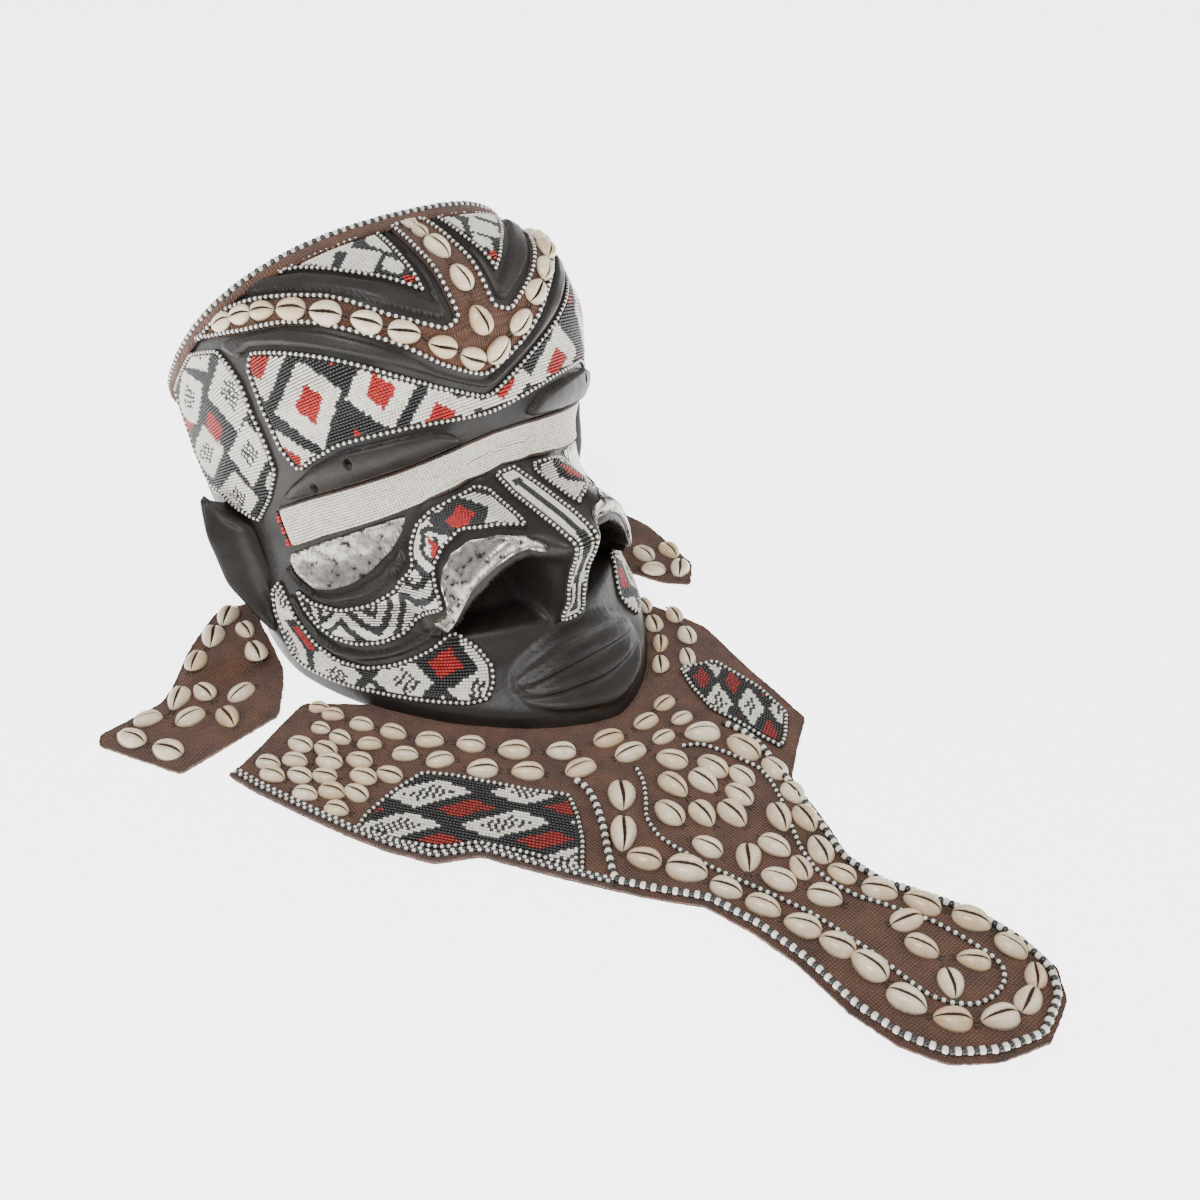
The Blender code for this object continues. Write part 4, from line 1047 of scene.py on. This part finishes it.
def ear(side):
    rings = []
    for z in np.linspace(8, 107, 46):
        rim_x, rim_y, behind, before, foot = [float(curve(EAR, z, c)) for c in range(1, 6)]
        ring = [(foot + (rim_x - foot) * out, behind + (rim_y - behind) * part)
                for part, out in EAR_BEHIND]
        ring += [(foot + (rim_x - foot) * out, rim_y + (before - rim_y) * part)
                 for part, out in EAR_BEFORE]
        if side < 0:
            angle = math.degrees(math.atan2(z, HINGE - rim_y))
            wider = float(curve(STATIONS, angle, 5) - curve(STATIONS, angle, 4))
            ring = [(wider - x, y) for x, y in ring]
        ring = rounded(ring, 36)
        rings.append(np.column_stack((ring, np.full(36, z))))
    n = 36
    faces = []
    for k in range(len(rings) - 1):
        for e in range(n):
            f = (e + 1) % n
            faces.append([k * n + e, k * n + f, (k + 1) * n + f, (k + 1) * n + e])
    faces = np.array(faces)
    caps = np.array([list(range(n - 1, -1, -1)), [(len(rings) - 1) * n + e for e in range(n)]])
    if side > 0:
        faces, caps = faces[:, ::-1], caps[:, ::-1]
    return np.concatenate(rings), [(faces, 0), (caps, 0)]


def left_too(outline):
    return [outline, other_side(outline)]


bodies = [wood_shell(), ridge(LOW_RIDGE, RIDGE_HIGH, 3.0), ear(1), ear(-1)]
for line in left_too(HIGH_RIDGE) + left_too(CHEEK_RIDGE):
    bodies.append(ridge(line, RIDGE_HIGH, 2.8))
for line in left_too(EYE_RIDGE):
    bodies.append(ridge(line, 4.4, 4.2))
for line, holes in zip(left_too(BROW_LEAF), left_too(BROW_HOLES)):
    bodies.append(ridge(line, 5.4, 3.4, 1.0, holes))
piece("carved_wood", bodies, [WOOD], ["carved_wood_helmet"])


# ---- sheet metal
def hammered(name, outline, low, thick, node_name, dents, step):
    line = dense(outline, on_head, 1.2, 3)
    spots = place_random(line, dents)

    def top(flat, away):
        here = on_head(flat)
        out = np.full(len(flat), low + thick)
        for spot, deep, wide in spots:
            far = ((here - spot) ** 2).sum(1)
            out -= deep * np.exp(-far / (2 * wide * wide))
        return out - 0.4 * (away < 0.3)
    body = plate(line, on_head, level(low - 0.3), top, step)
    return piece(name, [body], [METAL], [node_name])


def place_random(line, count):
    lo, hi = line.min(0), line.max(0)
    out = []
    for _ in range(count):
        flat = rng.uniform(lo, hi)
        out.append((on_head(flat[None])[0], rng.uniform(-0.3, 0.45), rng.uniform(2.5, 4.5)))
    return out


for tag, turned in (("right", lambda p: p), ("left", other_side)):
    hammered("eye_metal_" + tag, turned(EYE), 0.3, 1.1, "eye_plate_" + tag, 46, 1.5)
    hammered("nostril_metal_" + tag, turned(NOSTRIL), 0.7, 1.2, "nostril_plate_" + tag, 8, 4.5)


# ---- cowries
SLIT_HALF = 0.085
# length of the modelled cowries beside the lengths in the tables
SHELL_SHARE = 0.95


def cowrie_template():
    # unit cowrie, a length of one, with its toothed slit upward
    count = 19
    across = np.array([-1, -0.92, -0.74, -0.48, -0.2, -SLIT_HALF, 0.0, SLIT_HALF, 0.2, 0.48,
                       0.74, 0.92, 1.0])
    high = np.array([0.0, 0.40, 0.74, 0.96, 0.98, 0.80, 0.40, 0.80, 0.98, 0.96, 0.74, 0.40, 0.0])
    verts = []
    for k in range(count):
        t = math.cos(math.pi * (1 - k / (count - 1)))
        half = 0.37 * math.sqrt(max(1 - t * t, 0.0)) * (1 + 0.16 * t)
        dome = 0.33 * max(1 - abs(t) ** 2.6, 0.0) ** 0.6
        bend = 0.035 * math.sin(t * 2.2)
        tooth = 0.022 if k % 2 else -0.012
        for c, h in zip(across, high):
            y = c * half + bend * (1 - c * c)
            if abs(c) == SLIT_HALF:
                y += math.copysign(tooth, c) * (1 - t * t)
            verts.append((0.5 * t, y, 0.03 + dome * h))
    n = len(across)
    shell = []
    slit = []
    for k in range(count - 1):
        for e in range(n - 1):
            quad = [k * n + e, (k + 1) * n + e, (k + 1) * n + e + 1, k * n + e + 1]
            # the slit faces take the painted shade of the shell slits
            (slit if e in (5, 6) else shell).append(quad)
        shell.append([k * n + n - 1, (k + 1) * n + n - 1, (k + 1) * n, k * n])
    return np.array(verts), [(np.array(shell), 0), (np.array(slit), 1)]


COWRIE = cowrie_template()


def shells(spots, ways, ups, longs, shell_mat, slit_shade_mat):
    # cowries, each a little different in size and lean
    n = len(spots)
    verts, blocks = COWRIE
    own = [(f, np.full(len(f), (shell_mat, slit_shade_mat)[m])) for f, m in blocks]
    ways = unit(ways) * np.where(rng.random(n) < 0.5, -1, 1)[:, None]
    side = np.cross(ups, ways)
    ways = ways + side * rng.normal(0, 0.07, (n, 1)) + ups * rng.normal(0, 0.03, (n, 1))
    ups = ups + side * rng.normal(0, 0.07, (n, 1))
    size = SHELL_SHARE * longs[:, None] * (1 + rng.normal(0, 0.035, (n, 1))) * np.ones((n, 3))
    size[:, 1] *= 1 + rng.normal(0, 0.05, n)
    return copies((verts, own), spots, ways, ups, size, np.zeros(n, int))


def knots(spots, ways, ups, longs, mat):
    # threads that hold each cowrie at its two ends
    out = []
    side = unit(np.cross(ups, ways))
    ways = unit(ways)
    for end in (-1, 1):
        for off in (-0.5, 0.5):
            where = spots + ways * (end * longs[:, None] * 0.52) + side * (off * 2.2) + ups * 0.5
            size = np.tile([4.2, 0.75, 0.75], (len(spots), 1))
            lean = side * (off * 0.5 * end)
            out.append(copies(SEED, where, ways + lean, ups, size, np.full(len(spots), mat)))
    return out


# ---- raffia strip over the forehead
STRIP_THICK = 1.4
# middles of the cowries: on the mask's right arm, from the middle out, and on the upright
ARM = [(-2.0, 32.1), (-8.0, 33.7), (-15.5, 35.7), (-23.0, 37.6), (-31.5, 39.7), (-39.0, 41.5),
       (-46.0, 43.1), (-52.5, 44.3), (-59.0, 45.1)]
UPRIGHT = [(0, 34.7), (0, 38.6), (0, 42.0), (0, 44.5), (0, 45.6)]


def crown_strip():
    outline = both_sides(STRIP)
    line = dense(outline, on_head, 1.3, 3)
    body = plate(line, on_head, level(0.0), level(STRIP_THICK), 2.5, 0)
    spots, ways, ups, longs = [], [], [], []
    for path in (ARM, other_side(ARM), UPRIGHT):
        flat = np.array(path, float)
        here = on_head(flat, STRIP_THICK)
        gaps = np.linalg.norm(np.diff(here, axis=0), axis=1)
        gaps = np.minimum(np.append(gaps, gaps[-1]), np.insert(gaps, 0, gaps[0]))
        spots.append(here)
        ways.append(np.gradient(here, axis=0))
        ups.append(unit(on_head(flat, 5.0) - on_head(flat)))
        longs.append(np.clip(gaps * 1.03, 13.0, 20.0))
    spots, ways, ups, longs = map(np.concatenate, (spots, ways, ups, longs))
    _, beads = border(line, on_head, 1.6, STRIP_THICK + 1.2, [(2.1, 1.25, 4), (2.0, 1.2, 5)])
    return piece("crown_strip_cowries", [body, shells(spots, ways, ups, longs, 1, 2),
                                         *knots(spots, unit(ways), ups, longs, 3), beads],
                 [RAFFIA, SHELL, SLIT, THREAD, WHITE, BLACK],
                 ["crown_cowrie_strip"])


crown_strip()


# ---- rim of the crown: folded raffia and a string of disc beads
def rim_path(extra, lift, count=260):
    turns = -180 + 360.0 * np.arange(count) / count
    x, reach = oval(turns, np.full(count, RIM_ANGLE), -extra, -extra, -extra)
    tilt = math.radians(RIM_ANGLE)
    away = np.array([0, math.sin(tilt), math.cos(tilt)])
    return fan(x, reach, np.full(count, RIM_ANGLE)) + away * lift, away


def rim():
    section = [(-15.5, 0.2), (-9, 0.2), (-2, 0.1), None, None, None, None, (2.6, 2.4),
               (1.6, 3.6), (-1, 4.0), (-5, 3.3), (-10, 3.2), (-15, 2.6), (-16.2, 1.4)]
    # the fold hanging down over the outside: degrees below the rim and lift off the wood
    fold = iter([(0.1, 0.1), (0.85, 0.2), (0.9, 2.1), (0.4, 3.0)])
    count = 260
    rings = []
    wob = np.cumsum(rng.normal(0, 1, count))
    wob = wob - np.linspace(wob[0], wob[-1], count)
    for _ in range(3):
        wob = (np.roll(wob, 1) + wob + np.roll(wob, -1)) / 3
    wob = wob / (np.abs(wob).max() + 1e-9)
    turns = -180 + 360.0 * np.arange(count) / count
    crease = np.sin(np.radians(turns) * 61) * np.sin(np.radians(turns) * 23)
    for spot in section:
        if spot is None:
            down, lift = next(fold)
            angle = RIM_ANGLE - down * (1 + 0.45 * wob)
            pts = on_head(np.stack([turns, angle], 1), lift + 0.35 * crease * (lift > 1))
        else:
            pts, away = rim_path(*spot, count)
            pts = pts + away * ((0.5 * wob + 0.4 * crease) * (spot[1] > 1))[:, None]
        rings.append(pts + rng.normal(0, 0.12, pts.shape))
    rings = np.stack(rings, 1)
    n = len(section)
    quads = []
    for k in range(count):
        a, b = k * n, ((k + 1) % count) * n
        for e in range(n):
            f = (e + 1) % n
            quads.append([a + e, b + e, b + f, a + f])
    cloth = (rings.reshape(-1, 3), [(np.array(quads), 0)])
    piece("rim_cloth", [cloth], [RAFFIA], ["rim_cloth_binding"])
    pts, away = rim_path(0.6, 5.0, 400)
    ups = np.tile(away, (len(pts), 1))
    beads = string(run(pts, ups, True), [(2.7, 2.0, W), (2.7, 2.0, K)])
    piece("rim_beads", [beads], BEADED, ["rim_bead_string"])


rim()

# ---- raffia bib, lying on the table
BIB_THICK = 2.6
BIB_OUTER = [(-146, 128), (-211, 97), (-206, 78), (-194, 44), (-182, 12), (-170, -14),
             (-156, -36), (-134, -48), (-116, -78), (-94, -112), (-80, -132), (-64, -152),
             (-57, -180), (-54, -209), (-56, -242), (-52, -269), (-42, -290), (-22, -305),
             (4, -314), (30, -306), (43, -292), (46, -270), (43, -246), (33, -222),
             (22, -200), (20, -178), (30, -150), (41, -116), (62, -101), (87, -85),
             (94, -31), (104, 22), (92, 66)]


def chin_edge(grow=-1.0):
    # the lower edge of the wood, from the left side to the right
    turns = np.linspace(52, -62, 60)
    flat = np.stack([turns, np.zeros(60)], 1)
    return [(x, y) for x, y, _ in on_head(flat, grow)]


def inset(path, gap):
    pts = np.array(path, float)
    return moved_in(pts, on_table, gap, False)


TONGUE = BIB_OUTER[9:27]
CORD = ([(-59, -38), (-58, -47), (-62, -60), (-70, -76), (-79, -90)]
        + [tuple(p) for p in inset(TONGUE, 4.5)] + [(45, -88), (46, -72), (42, -57)])
INNER_LINE = [(9, -56), (19, -62), (25, -76), (29, -90), (31, -100), (28, -112), (21, -127),
              (10, -145), (3, -157), (-2, -172), (-3, -182), (0, -198), (7, -211), (12, -223),
              (18, -235), (21, -250), (23, -266), (22, -275), (14, -281), (4, -282),
              (-6, -280), (-15, -272), (-20, -262), (-21, -245), (-21, -232), (-23, -214),
              (-26, -192), (-32, -172), (-39, -152), (-45, -133), (-49, -115), (-51, -101),
              (-47, -86), (-38, -76), (-29, -64), (-24, -51)]
WING_RIGHT = [(-123, 26), (-146, 24), (-168, 18), (-177, 12), (-164, -14), (-149, -32),
              (-131, -42), (-114, -67), (-99, -95), (-84, -77), (-74, -60), (-68, -44),
              (-82, -28), (-96, -8), (-110, 12)]
WING_LEFT = [(58, 0), (82, -10), (85, -48), (80, -77), (64, -91), (53, -97), (51, -86),
             (48, -58), (45, -44), (50, -20)]


# cowries of the bib and the flaps: place, direction in degrees and length
TONGUE_LEFT = [(-46, -64, 50, 25), (-65, -87, 48, 25), (-68, -108, 123, 21), (-55, -128, 114, 23),
               (-48, -151, 112, 20), (-42, -172, 106, 22), (-36, -194, 115, 21),
               (-31, -213, 106, 20), (-29, -232, 91, 22), (-30, -256, 94, 22),
               (-22, -277, 128, 20), (-4, -291, 155, 22), (15, -294, 7, 18), (30, -288, 40, 16)]
TONGUE_RIGHT = [(26, -56, 140, 23), (36, -81, 97, 24), (37, -105, 81, 20), (31, -126, 74, 18),
                (22, -144, 65, 21), (10, -165, 66, 21), (6, -184, 110, 18), (13, -204, 116, 20),
                (23, -224, 116, 21), (34, -247, 111, 22), (35, -270, 94, 20)]
TONGUE_MIDDLE = [(11, -134, 61, 22), (-7, -147, 101, 20), (-24, -144, 43, 20), (-23, -165, 111, 20),
                 (-8, -167, 63, 18), (-12, -188, 109, 20), (-4, -61, 118, 20), (10, -81, 90, 22),
                 (18, -97, 87, 20), (-18, -77, 92, 22), (-2, -86, 90, 21), (6, -107, 85, 21),
                 (-35, -92, 91, 21), (-20, -104, 84, 22), (-7, -115, 83, 22), (-36, -124, 101, 21),
                 (8, -226, 150, 18), (1, -241, 102, 19), (14, -263, 128, 19), (-6, -264, 53, 18)]
CHIN_ROWS = [(-141, 116, 121, 14), (-138, 104, 118, 16), (-129, 85, 124, 17), (-118, 66, 121, 18),
             (-105, 46, 131, 18), (-88, 27, 127, 19), (-71, 6, 135, 20), (-50, -13, 140, 20),
             (-21, -23, 157, 20), (7, -26, 176, 18), (27, -21, 2, 16), (-150, 98, 117, 14),
             (-145, 83, 115, 16), (-135, 66, 135, 16), (-123, 45, 131, 17), (-110, 27, 147, 18),
             (-95, 5, 135, 19), (-76, -14, 133, 20), (-50, -32, 154, 21), (-19, -41, 164, 20),
             (6, -43, 171, 16), (26, -38, 166, 16)]
WING_FIELD = [(-167, 93, 117, 17), (-157, 80, 111, 17), (-176, 83, 120, 18), (-161, 69, 114, 18),
              (-147, 58, 115, 18), (-189, 91, 123, 17), (-192, 80, 115, 17), (-180, 70, 116, 17),
              (-169, 60, 123, 17), (-152, 45, 113, 18), (-139, 37, 120, 18), (-185, 54, 119, 17),
              (-172, 46, 113, 17), (-162, 36, 111, 18), (-177, 32, 120, 17)]
LEFT_OF_CHIN = [(52, 10, 40, 18), (66, 26, 50, 18), (78, 46, 60, 18), (86, 66, 70, 18),
                (70, 4, 45, 18), (86, 22, 58, 18), (95, 44, 68, 18)]
BIB_SHELLS = (TONGUE_LEFT + TONGUE_RIGHT + TONGUE_MIDDLE + CHIN_ROWS + WING_FIELD
              + LEFT_OF_CHIN)
FLAP_SHELLS_RIGHT = [(-146, 229, 48, 22), (-164, 214, 43, 22), (-183, 198, 39, 20),
                     (-205, 180, 44, 23), (-228, 174, 160, 19), (-243, 163, 117, 21),
                     (-230, 140, 120, 21), (-190, 175, 92, 20), (-207, 159, 172, 20),
                     (-172, 160, 8, 20), (-189, 144, 85, 20), (-144, 207, 80, 19),
                     (-148, 186, 75, 20)]
FLAP_SHELLS_LEFT = [(121, 94, 125, 20), (137, 83, 40, 20), (147, 105, 82, 20),
                    (129, 114, 85, 20)]


# how far the cowries press into the cloth
SHELL_SINK = 0.5


def sewn_shells(name, table, height, rise=None):
    # cowries lying on a cloth, each held by threads at its ends
    s = np.array(table, float)
    s[:, 2] = np.radians(s[:, 2])
    lift = height + ripple(s[:, :2]) + (0 if rise is None else rise(s[:, :2]))
    spots = on_table(s[:, :2], lift - SHELL_SINK)
    ways = np.stack([np.cos(s[:, 2]), np.sin(s[:, 2]), np.zeros(len(s))], 1)
    ups = np.tile([0.0, 0.0, 1.0], (len(s), 1))
    return piece(name, [shells(spots, ways, ups, s[:, 3], 1, 2),
                        *knots(spots, ways, ups, s[:, 3], 3)],
                 [RAFFIA, SHELL, SLIT, THREAD])


def ripple(flat, size=1.0):
    # small waves of the cloth
    x, y = flat[:, 0], flat[:, 1]
    return size * (0.25 * np.sin(x / 9.0 + y / 17.0) + 0.2 * np.sin(y / 7.3 - x / 23.0)
                   + 0.15 * np.sin(x / 3.9 + 1.3) * np.sin(y / 4.3))


def cloth_body(line, thick, rise=None, step=4.0):
    def top(flat, away):
        out = thick + ripple(flat) + (0 if rise is None else rise(flat))
        return out - 0.7 * np.exp(-away / 1.2)

    def low(flat, away):
        return 0.15 + (0 if rise is None else rise(flat)) + 0.2 * np.exp(-away / 1.5)
    return plate(line, on_table, low, top, step)


def area_of(line):
    x, y = line[:, 0], line[:, 1]
    return abs((x * np.roll(y, -1) - y * np.roll(x, -1)).sum()) / 2 * MM * MM


def bib():
    outline = BIB_OUTER + chin_edge()
    line = dense(outline, on_table, 2.0, 2)
    line = line + rng.normal(0, 0.15, line.shape)
    cloth = cloth_body(line, BIB_THICK)
    hem = dense(BIB_OUTER[1:10], on_table, 2.0, 3, False)
    beads = []
    for gap, first in ((3.4, W), (5.6, K)):
        pts, ups = lifted(moved_in(hem, on_table, gap, False), on_table, BIB_THICK + 1.0)
        kinds = [(2.3, 1.2, first), (2.3, 1.2, W + K - first)]
        beads.append(string(run(pts, ups), kinds))
    curl, ups = lifted(moved_in(hem, on_table, 0.9, False), on_table, BIB_THICK + 0.2)
    roll = cord_body(curl, ups, 1.5 + 0.35 * np.sin(np.arange(len(curl)) * 0.9), 0)
    obj = piece("bib_raffia", [cloth], [RAFFIA], ["bib_cloth"])
    hem_beads = piece("bib_hem_beads", beads, BEADED)
    hem_roll = piece("bib_hem_roll", [roll], [THREAD])
    sewn = sewn_shells("bib_cowries", BIB_SHELLS, BIB_THICK)
    area_of(line)


def bib_strings():
    for name, path, kinds, node_name in (
            ("beard_border_beads", CORD, [(3.1, 2.15, W), (2.7, 2.0, K)], "beard_bead_border"),
            ("beard_inner_beads", INNER_LINE, [(2.1, 1.2, W), (2.0, 1.15, K)],
             "beard_inner_bead_line")):
        line = dense(path, on_table, 1.5, 8, False)
        pts, ups = lifted(line, on_table, BIB_THICK + kinds[0][1])
        piece(name, [string(run(pts, ups), kinds)], BEADED, [node_name])


# the wing panels: rows of beads run beside the outer edge
WING_HIGH = BIB_THICK + 0.35


def wing(tag, outline, way, base, first, second):
    way = np.array(way, float) / math.hypot(*way)
    turned = np.array([[way[0], way[1]], [-way[1], way[0]]])
    flat_line = np.array(outline, float) @ turned.T

    def place(flat, lift=0.0):
        return on_table(flat @ turned, WING_HIGH + np.asarray(lift))

    grid = np.linalg.inv(np.array([first, second], float))

    def colour(flat):
        spot = (flat @ turned - np.array(base)) @ grid
        cell = np.round(spot)
        off = np.abs(spot - cell)
        even = (cell.sum(1) % 2) == 0
        out = np.where(even, K, W)
        out[even & (off.max(1) < 0.27)] = D
        a = np.floor(flat[:, 0] / PITCH)
        b = np.floor(flat[:, 1] / ROW)
        out[~even & (off.max(1) < 0.25) & ((a + b) % 2 == 0)] = K
        out[~even & (off.max(1) > 0.43)] = K
        return out
    return panel("wing_beads_" + tag, flat_line, place, colour, "wing_bead_panel_" + tag)


bib()
bib_strings()
wing("right", WING_RIGHT, (84, -115), (-121, -15.5), (10, -24), (38, -14))
wing("left", WING_LEFT, (10, -60), (74, -34), (-20, -8), (-8, -24))

# ---- side flaps
FLAP_RIGHT = [(-124, 236), (-133, 205), (-138, 170), (-146, 154), (-163, 128), (-232, 118),
              (-260, 173), (-256, 181), (-214, 186), (-150, 240)]
FLAP_LEFT = [(112, 222), (117, 190), (121, 165), (118, 130), (108, 106), (118, 80),
             (132, 66), (150, 84), (160, 140), (150, 222)]
FLAP_RISE = 9.0


def flap_rise(flat):
    near = ease((156 - np.abs(flat[:, 0] + PLACE[0])) / 26.0)
    return FLAP_RISE * near * ease((flat[:, 1] + PLACE[1] - 150) / 30.0)


def flap(tag, outline, table):
    line = dense(outline, on_table, 2.0, 2)
    line = line + rng.normal(0, 0.2, line.shape)
    cloth = cloth_body(line, BIB_THICK, flap_rise)
    obj = piece("flap_raffia_" + tag, [cloth], [RAFFIA],
                ["side_flap_" + tag])
    sewn = sewn_shells("flap_cowries_" + tag, table, BIB_THICK, flap_rise)
    area_of(line)


flap("right", FLAP_RIGHT, FLAP_SHELLS_RIGHT)
flap("left", FLAP_LEFT, FLAP_SHELLS_LEFT)

# ---- floor, light and camera
FLOOR_GLOW = 3.4
SKY = 0.95
floor_mesh = bpy.data.meshes.new("floor")
floor_mesh.from_pydata([(-6, -6, 0), (6, -6, 0), (6, 6, 0), (-6, 6, 0)], [], [(0, 1, 2, 3)])
floor = bpy.data.objects.new("floor", floor_mesh)
bpy.context.scene.collection.objects.link(floor)
floor_mat, floor_tree, floor_bsdf = fresh("white paper")
floor_bsdf.inputs["Base Color"].default_value = (0.94, 0.94, 0.94, 1)
floor_bsdf.inputs["Roughness"].default_value = 0.9
floor_bsdf.inputs["Emission Color"].default_value = (1, 1, 1, 1)
floor_bsdf.inputs["Emission Strength"].default_value = FLOOR_GLOW
floor_mesh.materials.append(floor_mat)


def lamp(name, spot, target, size, power):
    data = bpy.data.lights.new(name, "AREA")
    data.shape = "SQUARE"
    data.size = size
    data.energy = power
    obj = bpy.data.objects.new(name, data)
    bpy.context.scene.collection.objects.link(obj)
    obj.location = spot
    obj.rotation_euler = (Vector(target) - Vector(spot)).to_track_quat("-Z", "Y").to_euler()


lamp("key light", (-0.9, -0.3, 1.6), (0, 0, 0.1), 0.9, 22)
lamp("fill light", (1.2, -1.0, 1.3), (0, 0, 0.1), 1.2, 10)
world = bpy.data.worlds.new("studio")
world.use_nodes = True
world.node_tree.nodes["Background"].inputs["Color"].default_value = (1, 1, 1, 1)
world.node_tree.nodes["Background"].inputs["Strength"].default_value = SKY
bpy.context.scene.world = world

camera_data = bpy.data.cameras.new("camera")
camera_data.lens = 36.0
camera_data.sensor_width = 36.0
camera = bpy.data.objects.new("camera", camera_data)
bpy.context.scene.collection.objects.link(camera)
camera.location = (-0.322, -0.45195, 0.5)
camera.rotation_euler = (math.radians(54), 0, math.radians(-40))
bpy.context.scene.camera = camera
